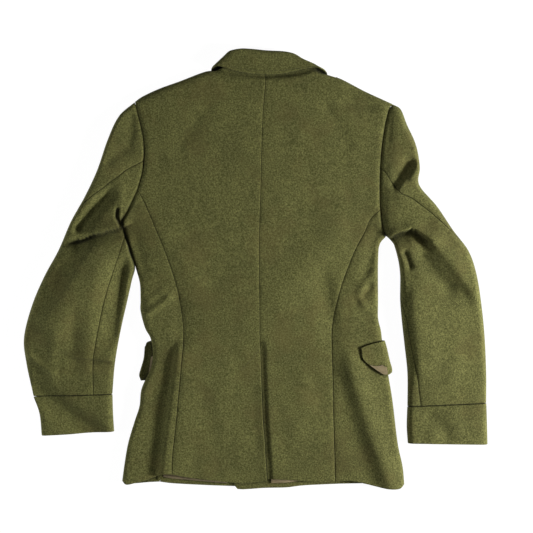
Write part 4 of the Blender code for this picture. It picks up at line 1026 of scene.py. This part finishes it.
def makeStitchTree():
    tree = bpy.data.node_groups.new("row of stitches", "GeometryNodeTree")
    for name, kind in (("Geometry", "NodeSocketGeometry"), ("Pitch", "NodeSocketFloat"),
                       ("Stitch length", "NodeSocketFloat"), ("Thickness", "NodeSocketFloat"),
                       ("Uneven", "NodeSocketFloat"), ("Seed", "NodeSocketInt"),
                       ("Thread", "NodeSocketMaterial")):
        tree.interface.new_socket(name=name, in_out="INPUT", socket_type=kind)
    tree.interface.new_socket(name="Geometry", in_out="OUTPUT", socket_type="NodeSocketGeometry")
    nodes, links = tree.nodes, tree.links
    start, end = nodes.new("NodeGroupInput"), nodes.new("NodeGroupOutput")
    curve, spaced = nodes.new("GeometryNodeMeshToCurve"), nodes.new("GeometryNodeResampleCurve")
    spaced.mode = "LENGTH"
    links.new(start.outputs["Geometry"], curve.inputs["Mesh"])
    links.new(curve.outputs["Curve"], spaced.inputs["Curve"])
    links.new(start.outputs["Pitch"], spaced.inputs["Length"])
    bead = nodes.new("GeometryNodeMeshUVSphere")
    for socket, value in (("Segments", 8), ("Rings", 6), ("Radius", 0.5)):
        bead.inputs[socket].default_value = value
    tangent, turn = nodes.new("GeometryNodeInputTangent"), nodes.new("FunctionNodeAlignRotationToVector")
    turn.axis = "X"
    links.new(tangent.outputs["Tangent"], turn.inputs["Vector"])
    uneven = nodes.new("FunctionNodeRandomValue")
    links.new(start.outputs["Seed"], uneven.inputs["Seed"])
    least, most = nodes.new("ShaderNodeMath"), nodes.new("ShaderNodeMath")
    least.operation, most.operation = "SUBTRACT", "ADD"
    for node, socket in ((least, uneven.inputs[2]), (most, uneven.inputs[3])):
        node.inputs[0].default_value = 1.0
        links.new(start.outputs["Uneven"], node.inputs[1])
        links.new(node.outputs[0], socket)
    length, size = nodes.new("ShaderNodeMath"), nodes.new("ShaderNodeCombineXYZ")
    length.operation = "MULTIPLY"
    links.new(start.outputs["Stitch length"], length.inputs[0])
    links.new(uneven.outputs[1], length.inputs[1])
    links.new(length.outputs[0], size.inputs[0])
    links.new(start.outputs["Thickness"], size.inputs[1])
    links.new(start.outputs["Thickness"], size.inputs[2])
    placed, solid = nodes.new("GeometryNodeInstanceOnPoints"), nodes.new("GeometryNodeRealizeInstances")
    links.new(spaced.outputs["Curve"], placed.inputs["Points"])
    links.new(bead.outputs["Mesh"], placed.inputs["Instance"])
    links.new(turn.outputs["Rotation"], placed.inputs["Rotation"])
    links.new(size.outputs[0], placed.inputs["Scale"])
    links.new(placed.outputs["Instances"], solid.inputs["Geometry"])
    finish = nodes.new("GeometryNodeSetMaterial")
    links.new(solid.outputs["Geometry"], finish.inputs["Geometry"])
    links.new(start.outputs["Thread"], finish.inputs["Material"])
    links.new(finish.outputs["Geometry"], end.inputs["Geometry"])
    return tree


def makeStitches(name, path, tree, material):
    points = (np.asarray(path) - tableCentre) * 0.001
    mesh = bpy.data.meshes.new(name)
    mesh.from_pydata(points.tolist(), [(k, k + 1) for k in range(len(points) - 1)], [])
    piece = bpy.data.objects.new(name, mesh)
    bpy.context.scene.collection.objects.link(piece)
    modifier = piece.modifiers.new("stitches", "NODES")
    modifier.node_group = tree
    values = {"Pitch": stitching["pitch"] * 0.001, "Stitch length": stitching["length"] * 0.001,
              "Thickness": stitching["thickness"] * 0.001, "Uneven": stitching["uneven"],
              "Seed": stitching["seed"], "Thread": material}
    for item in tree.interface.items_tree:
        if item.in_out == "INPUT" and item.name in values:
            modifier[item.identifier] = values[item.name]
    bpy.context.view_layer.update()
    made = bpy.data.meshes.new_from_object(piece.evaluated_get(bpy.context.evaluated_depsgraph_get()))
    piece.modifiers.clear()
    piece.data = made
    made.shade_smooth()
    return piece


def makeStitchRows(material):
    tree = makeStitchTree()
    sink = stitching["thickness"] * stitching["sink"]
    rows = smoothCurve(collar["sections"], steps=collar["rowSteps"])
    rows = rows[rows[:, 6] > 0.9]
    plan = rows[:, 0:2] + (rows[:, 2:4] - rows[:, 0:2]) * stitching["collarInset"]
    level = collar["middle"] + collar["fallRise"] + cloth["collar"] / 2 + sink
    paths = {"collarStitches": np.column_stack([plan, np.full(len(plan), level)])}
    vent = along(np.array(body["ventStitch"], float), np.linspace(0, 1, 16))
    height = upperHeight(vent[:, 0], vent[:, 1]) + cloth["wool"] / 2 + sink
    paths["ventStitches"] = np.column_stack([vent, height])
    us, vs = np.linspace(*stitching["flapAcross"], 30), np.array(stitching["flapDown"])
    edge, _ = flapRightSurface(us, vs, cloth["flap"] / 2 + sink)
    paths["flapStitches"] = edge[0]
    return [makeStitches(name, path, tree, material) for name, path in paths.items()]


# Shared effects for the materials

def newGroup(name, inputs, outputs):
    group = bpy.data.node_groups.new(name, "ShaderNodeTree")
    for socket, kind, value in inputs:
        made = group.interface.new_socket(name=socket, in_out="INPUT", socket_type=kind)
        made.default_value = value
    for socket, kind in outputs:
        group.interface.new_socket(name=socket, in_out="OUTPUT", socket_type=kind)
    return group, group.nodes.new("NodeGroupInput"), group.nodes.new("NodeGroupOutput")


def addNode(tree, kind, settings=None, **values):
    node = tree.nodes.new(kind)
    for key, value in (settings or {}).items():
        setattr(node, key, value)
    for key, value in values.items():
        node.inputs[key.replace("_", " ")].default_value = value
    return node


def addMath(tree, operation, first, second, third=None, clamp=False):
    node = addNode(tree, "ShaderNodeMath", {"operation": operation, "use_clamp": clamp})
    for socket, value in zip(node.inputs, (first, second, third)):
        if isinstance(value, bpy.types.NodeSocket):
            tree.links.new(value, socket)
        elif value is not None:
            socket.default_value = value
    return node.outputs[0]


def addNoise(tree, place, scale, detail, rough=0.5, stretch=None):
    if stretch is not None:
        mapping = addNode(tree, "ShaderNodeMapping")
        mapping.inputs["Scale"].default_value = stretch
        tree.links.new(place, mapping.inputs["Vector"])
        place = mapping.outputs[0]
    node = addNode(tree, "ShaderNodeTexNoise", Scale=scale, Detail=detail, Roughness=rough)
    tree.links.new(place, node.inputs["Vector"])
    return node.outputs["Fac"]


def addRange(tree, value, low, high, toLow=0.0, toHigh=1.0):
    node = addNode(tree, "ShaderNodeMapRange", {"interpolation_type": "SMOOTHSTEP"},
                   From_Min=low, From_Max=high, To_Min=toLow, To_Max=toHigh)
    tree.links.new(value, node.inputs["Value"])
    return node.outputs[0]


def addMix(tree, share, first, second, blend="MIX"):
    node = addNode(tree, "ShaderNodeMix", {"data_type": "RGBA", "blend_type": blend})
    for socket, value in ((node.inputs["Factor"], share), (node.inputs[6], first), (node.inputs[7], second)):
        if isinstance(value, bpy.types.NodeSocket):
            tree.links.new(value, socket)
        else:
            socket.default_value = value
    return node.outputs[2]


def makeFibreGroup():      # fine fibres and flecks of milled wool, from where a point is on the object
    group, start, end = newGroup("milled fibres", [
        ("Place", "NodeSocketVector", (0, 0, 0)), ("Fleck size", "NodeSocketFloat", 0.0011)],
        [("Fibres", "NodeSocketFloat"), ("Flecks", "NodeSocketFloat"), ("Height", "NodeSocketFloat")])
    size = addMath(group, "DIVIDE", 1.0, start.outputs["Fleck size"])
    scaled = addNode(group, "ShaderNodeVectorMath", {"operation": "SCALE"})
    group.links.new(start.outputs["Place"], scaled.inputs[0])
    group.links.new(size, scaled.inputs["Scale"])
    place = scaled.outputs[0]
    flecks = addNoise(group, place, 1.0, 3.0, 0.65)
    slanted = addNoise(group, place, 1.4, 2.0, 0.6, (2.6, 0.7, 1.0))
    crossed = addNoise(group, place, 1.4, 2.0, 0.6, (0.7, 2.4, 1.0))
    fibres = addMath(group, "MULTIPLY", addMath(group, "ADD", slanted, crossed), 0.5)
    group.links.new(fibres, end.inputs["Fibres"])
    group.links.new(flecks, end.inputs["Flecks"])
    group.links.new(addMath(group, "MULTIPLY_ADD", flecks, 0.6, fibres), end.inputs["Height"])
    return group


def makeTwillGroup():      # slanted lines of a twill, along the cut of each piece
    group, start, end = newGroup("twill lines", [
        ("Grain", "NodeSocketVector", (0, 0, 0)), ("Pitch", "NodeSocketFloat", 0.0009)],
        [("Lines", "NodeSocketFloat")])
    split = addNode(group, "ShaderNodeSeparateXYZ")
    group.links.new(start.outputs["Grain"], split.inputs[0])
    slope = addMath(group, "MULTIPLY_ADD", split.outputs[1], 0.62, split.outputs[0])
    turns = addMath(group, "MULTIPLY", addMath(group, "DIVIDE", slope, start.outputs["Pitch"]), 2 * math.pi)
    lines = addMath(group, "MULTIPLY_ADD", addMath(group, "SINE", turns, None), 0.5, 0.5)
    group.links.new(lines, end.inputs["Lines"])
    return group


def makeMottleGroup():      # slow changes of shade in dyed cloth that has been stored and handled
    group, start, end = newGroup("storage mottle", [
        ("Place", "NodeSocketVector", (0, 0, 0)), ("Patch size", "NodeSocketFloat", 0.05)],
        [("Shade", "NodeSocketFloat"), ("Brown", "NodeSocketFloat")])
    size = addMath(group, "DIVIDE", 1.0, start.outputs["Patch size"])
    scaled = addNode(group, "ShaderNodeVectorMath", {"operation": "SCALE"})
    group.links.new(start.outputs["Place"], scaled.inputs[0])
    group.links.new(size, scaled.inputs["Scale"])
    place = scaled.outputs[0]
    group.links.new(addNoise(group, place, 1.0, 4.0, 0.55), end.inputs["Shade"])
    shifted = addNode(group, "ShaderNodeVectorMath", {"operation": "ADD"})
    shifted.inputs[1].default_value = (7.3, 2.1, 4.4)
    group.links.new(place, shifted.inputs[0])
    group.links.new(addNoise(group, shifted.outputs[0], 0.7, 3.0, 0.6), end.inputs["Brown"])
    return group


wool = {
    "dark": (0.046, 0.048, 0.011, 1), "light": (0.222, 0.221, 0.074, 1), "brown": (0.105, 0.083, 0.026, 1),
    "shade": 0.84, "brownShare": 0.30, "roughness": (0.86, 0.98), "gloss": 0.2,
    "grain": (0.36, 0.74), "brownPatches": (0.48, 0.70), "shadePatches": (0.30, 0.62),
    "fibreShare": 0.45, "fleckShare": 0.55, "fleckSize": 0.0027, "patchSize": 0.045,
    "twillPitch": 0.0011, "twillHeight": 0.18, "bump": 0.0007,
    "sheen": 0.12, "sheenRoughness": 0.5, "sheenTint": (0.30, 0.32, 0.16, 1),
    "paintedShadeReach": 0.012, "paintedShadeOpen": (0.52, 0.95), "paintedShadeDarkest": 0.20,    # painted shade: the colour is darkened where ambient occlusion finds seams and folds
}
liningCloth = {
    "beige": (0.27, 0.215, 0.108, 1), "shade": (0.17, 0.130, 0.060, 1), "roughness": (0.55, 0.72),
    "twillPitch": 0.0006, "twillShare": 0.25, "patchSize": 0.02, "patches": (0.3, 0.7),
    "bump": 0.0002, "sheen": 0.05, "sheenRoughness": 0.35,
}
thread = {
    "light": (0.075, 0.080, 0.030, 1), "dark": (0.035, 0.038, 0.015, 1), "roughness": (0.6, 0.8),
    "fleckSize": 0.0005, "bump": 0.0001,
}


def newMaterial(name):
    material = bpy.data.materials.new(name)
    material.use_nodes = True
    tree = material.node_tree
    return material, tree, tree.nodes["Principled BSDF"], addNode(tree, "ShaderNodeTexCoord")


def addGroup(tree, group, **values):
    node = tree.nodes.new("ShaderNodeGroup")
    node.node_tree = group
    for key, value in values.items():
        if isinstance(value, bpy.types.NodeSocket):
            tree.links.new(value, node.inputs[key.replace("_", " ")])
        else:
            node.inputs[key.replace("_", " ")].default_value = value
    return node


def addBump(tree, shader, height, depth):
    bump = addNode(tree, "ShaderNodeBump", Strength=1.0, Distance=depth)
    tree.links.new(height, bump.inputs["Height"])
    tree.links.new(bump.outputs[0], shader.inputs["Normal"])


def makeWoolMaterial(name, values, groups):
    material, tree, shader, coordinates = newMaterial(name)
    place, cut = coordinates.outputs["Object"], coordinates.outputs["UV"]
    fibres = addGroup(tree, groups["fibres"], Place=place, Fleck_size=values["fleckSize"])
    mottle = addGroup(tree, groups["mottle"], Place=place, Patch_size=values["patchSize"])
    twill = addGroup(tree, groups["twill"], Grain=cut, Pitch=values["twillPitch"])
    flecks = addMath(tree, "MULTIPLY", fibres.outputs["Flecks"], values["fleckShare"])
    grain = addMath(tree, "MULTIPLY_ADD", fibres.outputs["Fibres"], values["fibreShare"], flecks)
    colour = addMix(tree, addRange(tree, grain, *values["grain"]), values["dark"], values["light"])
    brown = addRange(tree, mottle.outputs["Brown"], *values["brownPatches"], 0.0, values["brownShare"])
    colour = addMix(tree, brown, colour, values["brown"])
    shade = addRange(tree, mottle.outputs["Shade"], *values["shadePatches"], values["shade"], 1.0)
    colour = addMix(tree, 1.0, colour, shade, "MULTIPLY")
    # painted shade: ambient occlusion darkens the base colour in seams, folds and gaps between layers
    paintedShadeOcclusion = addNode(tree, "ShaderNodeAmbientOcclusion", {"samples": 8}, Distance=values["paintedShadeReach"])
    opened = addRange(tree, paintedShadeOcclusion.outputs["AO"], *values["paintedShadeOpen"], values["paintedShadeDarkest"], 1.0)
    colour = addMix(tree, 1.0, colour, opened, "MULTIPLY")
    tree.links.new(colour, shader.inputs["Base Color"])
    rough = addRange(tree, fibres.outputs["Fibres"], 0.3, 0.7, *values["roughness"])
    tree.links.new(rough, shader.inputs["Roughness"])
    height = addMath(tree, "MULTIPLY_ADD", twill.outputs["Lines"], values["twillHeight"],
                     fibres.outputs["Height"])
    addBump(tree, shader, height, values["bump"])
    shader.inputs["Specular IOR Level"].default_value = values["gloss"]
    shader.inputs["Sheen Weight"].default_value = values["sheen"]
    shader.inputs["Sheen Roughness"].default_value = values["sheenRoughness"]
    shader.inputs["Sheen Tint"].default_value = values["sheenTint"]
    return material


def makeLiningMaterial(groups):
    values = liningCloth
    material, tree, shader, coordinates = newMaterial("lining")
    place, cut = coordinates.outputs["Object"], coordinates.outputs["UV"]
    twill = addGroup(tree, groups["twill"], Grain=cut, Pitch=values["twillPitch"])
    mottle = addGroup(tree, groups["mottle"], Place=place, Patch_size=values["patchSize"])
    shade = addRange(tree, mottle.outputs["Shade"], *values["patches"])
    colour = addMix(tree, shade, values["shade"], values["beige"])
    lines = addMath(tree, "MULTIPLY", twill.outputs["Lines"], values["twillShare"])
    colour = addMix(tree, lines, colour, values["shade"])
    tree.links.new(colour, shader.inputs["Base Color"])
    rough = addRange(tree, mottle.outputs["Shade"], *values["patches"], *values["roughness"])
    tree.links.new(rough, shader.inputs["Roughness"])
    addBump(tree, shader, twill.outputs["Lines"], values["bump"])
    shader.inputs["Sheen Weight"].default_value = values["sheen"]
    shader.inputs["Sheen Roughness"].default_value = values["sheenRoughness"]
    return material


def makeThreadMaterial(groups):
    material, tree, shader, coordinates = newMaterial("thread")
    place = coordinates.outputs["Object"]
    fibres = addGroup(tree, groups["fibres"], Place=place, Fleck_size=thread["fleckSize"])
    colour = addMix(tree, fibres.outputs["Fibres"], thread["dark"], thread["light"])
    tree.links.new(colour, shader.inputs["Base Color"])
    rough = addRange(tree, fibres.outputs["Fibres"], 0.3, 0.7, *thread["roughness"])
    tree.links.new(rough, shader.inputs["Roughness"])
    addBump(tree, shader, fibres.outputs["Height"], thread["bump"])
    return material


# The pieces, each by the name of the node that it stands for
print("building the cloth")
groups = {"fibres": makeFibreGroup(), "mottle": makeMottleGroup(), "twill": makeTwillGroup()}
woolMaterial = makeWoolMaterial("wool", wool, groups)
liningMaterial = makeLiningMaterial(groups)
threadMaterial = makeThreadMaterial(groups)

pieces = {}
for side in ("left", "right"):
    pieces[f"back_{side}"] = makeBack(side, woolMaterial)
    pieces[f"side_{side}"] = makeSide(side, woolMaterial)
    pieces[f"front_{side}"] = makeFront(side, woolMaterial)
    pieces[f"front_lining_{side}"] = makeFrontLining(side, liningMaterial)
    pieces[f"sleeve_under_{side}"], pieces[f"sleeve_top_{side}"] = makeSleeve(side, woolMaterial)
    pieces[f"cuff_{side}"] = makeCuff(side, woolMaterial)
    pieces[f"shoulder_strap_{side}"] = makeStrap(side, woolMaterial)
    print(f"{side} side built")
pieces["collar"] = makeCollar(woolMaterial)
pieces["flap_left"], pieces["flap_lining_left"] = makeFlapLeft(woolMaterial, liningMaterial)
pieces["flap_right"], pieces["flap_lining_right"] = makeFlapRight(woolMaterial, liningMaterial)
allowances = makeAllowances(woolMaterial)
stitches = makeStitchRows(threadMaterial)
print("collar, flaps, seam turnings and stitches built")

# How each piece was cut: width, length and flat area in metres, how it is held, and what it rests on
cuts = {
    "back_left": (0.24, 0.76, 0.130, "laid", ["front_left"]),
    "back_right": (0.24, 0.76, 0.131, "laid", ["front_right"]),
    "side_left": (0.16, 0.54, 0.062, "folded", []),
    "side_right": (0.17, 0.54, 0.074, "folded", []),
    "front_left": (0.26, 0.76, 0.152, "laid", []),
    "front_right": (0.29, 0.76, 0.159, "laid", ["front_left"]),
    "front_lining_left": (0.033, 0.117, 0.0030, "laid", ["front_left"]),
    "front_lining_right": (0.030, 0.131, 0.0033, "laid", ["front_right"]),
    "sleeve_under_left": (0.14, 0.45, 0.054, "folded", []),
    "sleeve_under_right": (0.15, 0.45, 0.056, "folded", []),
    "sleeve_top_left": (0.20, 0.56, 0.082, "folded", []),
    "sleeve_top_right": (0.18, 0.56, 0.074, "folded", []),
    "cuff_left": (0.072, 0.275, 0.0195, "folded", []),
    "cuff_right": (0.072, 0.297, 0.0211, "folded", []),
    "shoulder_strap_left": (0.042, 0.092, 0.0037, "laid", []),
    "shoulder_strap_right": (0.039, 0.103, 0.0040, "laid", []),
    "collar": (0.046, 0.420, 0.0188, "folded", ["back_left", "back_right"]),
    "flap_left": (0.070, 0.112, 0.0076, "laid", []),
    "flap_right": (0.066, 0.165, 0.0105, "folded", ["side_right"]),
    "flap_lining_left": (0.010, 0.042, 0.00018, "laid", ["flap_left"]),
    "flap_lining_right": (0.018, 0.032, 0.00031, "laid", ["flap_right"]),
    "underarm": (0.010, 0.074, 0.00034, "laid", []),
    "centre": (0.0105, 0.465, 0.00485, "laid", ["front_left", "front_right"]),
    "neck": (0.0105, 0.026, 0.00026, "laid", []),
    "left armhole": (0.0105, 0.232, 0.0024, "laid", []),
    "right armhole": (0.0105, 0.242, 0.0025, "laid", []),
    "left": (0.0105, 0.500, 0.0052, "laid", ["front_left"]),
    "right": (0.0105, 0.488, 0.0051, "laid", ["front_right"]),
    "left front": (0.0105, 0.078, 0.0008, "laid", ["front_left"]),
    "right front": (0.0105, 0.074, 0.00077, "laid", ["front_right"]),
    "left cuff": (0.0105, 0.140, 0.00145, "laid", []),
    "right cuff": (0.0105, 0.140, 0.00145, "laid", []),
}
for name, piece in {**pieces, **allowances}.items():
    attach(piece, "root")
    if name in pieces:
        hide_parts(name)
    "lining" if "lining" in name else "wool"
    width, length, area, held, under = cuts[name]
    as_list(under)
for piece in stitches:
    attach(piece, "root")

# Floor, lights and camera
studio = {
    "floor": (0.06, 0.06, 0.06, 1), "floorDull": 0.97, "floorSize": 14.0, "floorGlow": 0.97, "world": 0.04,
    "cameraHeight": 2.2655, "aim": (0.0190, 0.0050), "lens": 85.0, "sensor": 36.0,
    "lights": [      # name, place, aim, size, power, colour
        ("right", (2.1, -0.28, 0.74), (0, -0.05, 0), 0.45, 103.0, (1.0, 0.985, 0.96)),
        ("left", (-1.5, -0.30, 0.42), (-0.1, -0.05, 0), 0.4, 8.5, (0.98, 0.99, 1.0)),
        ("top", (0.0, -0.4, 2.4), (0, -0.1, 0), 1.6, 10.0, (1.0, 1.0, 1.0)),
    ],
}


def makeStage():
    size = studio["floorSize"] / 2
    mesh = bpy.data.meshes.new("floor")
    corners = [(-size, -size, 0), (size, -size, 0), (size, size, 0), (-size, size, 0)]
    mesh.from_pydata(corners, [], [(0, 1, 2, 3)])
    floor = bpy.data.objects.new("floor", mesh)
    bpy.context.scene.collection.objects.link(floor)
    material, tree, shader, coordinates = newMaterial("floor")
    speck = addNoise(tree, coordinates.outputs["Object"], 40.0, 3.0)
    dull = tuple(studio["floorDull"] * c for c in studio["floor"][:3]) + (1,)
    tree.links.new(addMix(tree, speck, dull, studio["floor"]), shader.inputs["Base Color"])
    shader.inputs["Roughness"].default_value = 0.9
    shader.inputs["Emission Color"].default_value = (1, 1, 1, 1)
    shader.inputs["Emission Strength"].default_value = studio["floorGlow"]
    mesh.materials.append(material)
    world = bpy.data.worlds.new("room")
    bpy.context.scene.world = world
    world.use_nodes = True
    background = world.node_tree.nodes["Background"]
    background.inputs["Strength"].default_value = studio["world"]
    background.inputs["Color"].default_value = (1, 1, 1, 1)
    for name, place, aim, size, power, colour in studio["lights"]:
        light = bpy.data.lights.new(name, "AREA")
        light.shape, light.size, light.energy, light.color = "DISK", size, power, colour
        lamp = bpy.data.objects.new(name, light)
        lamp.location = place
        lamp.rotation_euler = (Vector(aim) - Vector(place)).to_track_quat("-Z", "Y").to_euler()
        bpy.context.scene.collection.objects.link(lamp)
    camera = bpy.data.objects.new("camera", bpy.data.cameras.new("camera"))
    camera.data.lens, camera.data.sensor_width = studio["lens"], studio["sensor"]
    camera.location = (*studio["aim"], studio["cameraHeight"])
    bpy.context.scene.collection.objects.link(camera)
    bpy.context.scene.camera = camera
    bpy.context.scene.view_settings.view_transform = "Standard"


makeStage()
print("stage built")
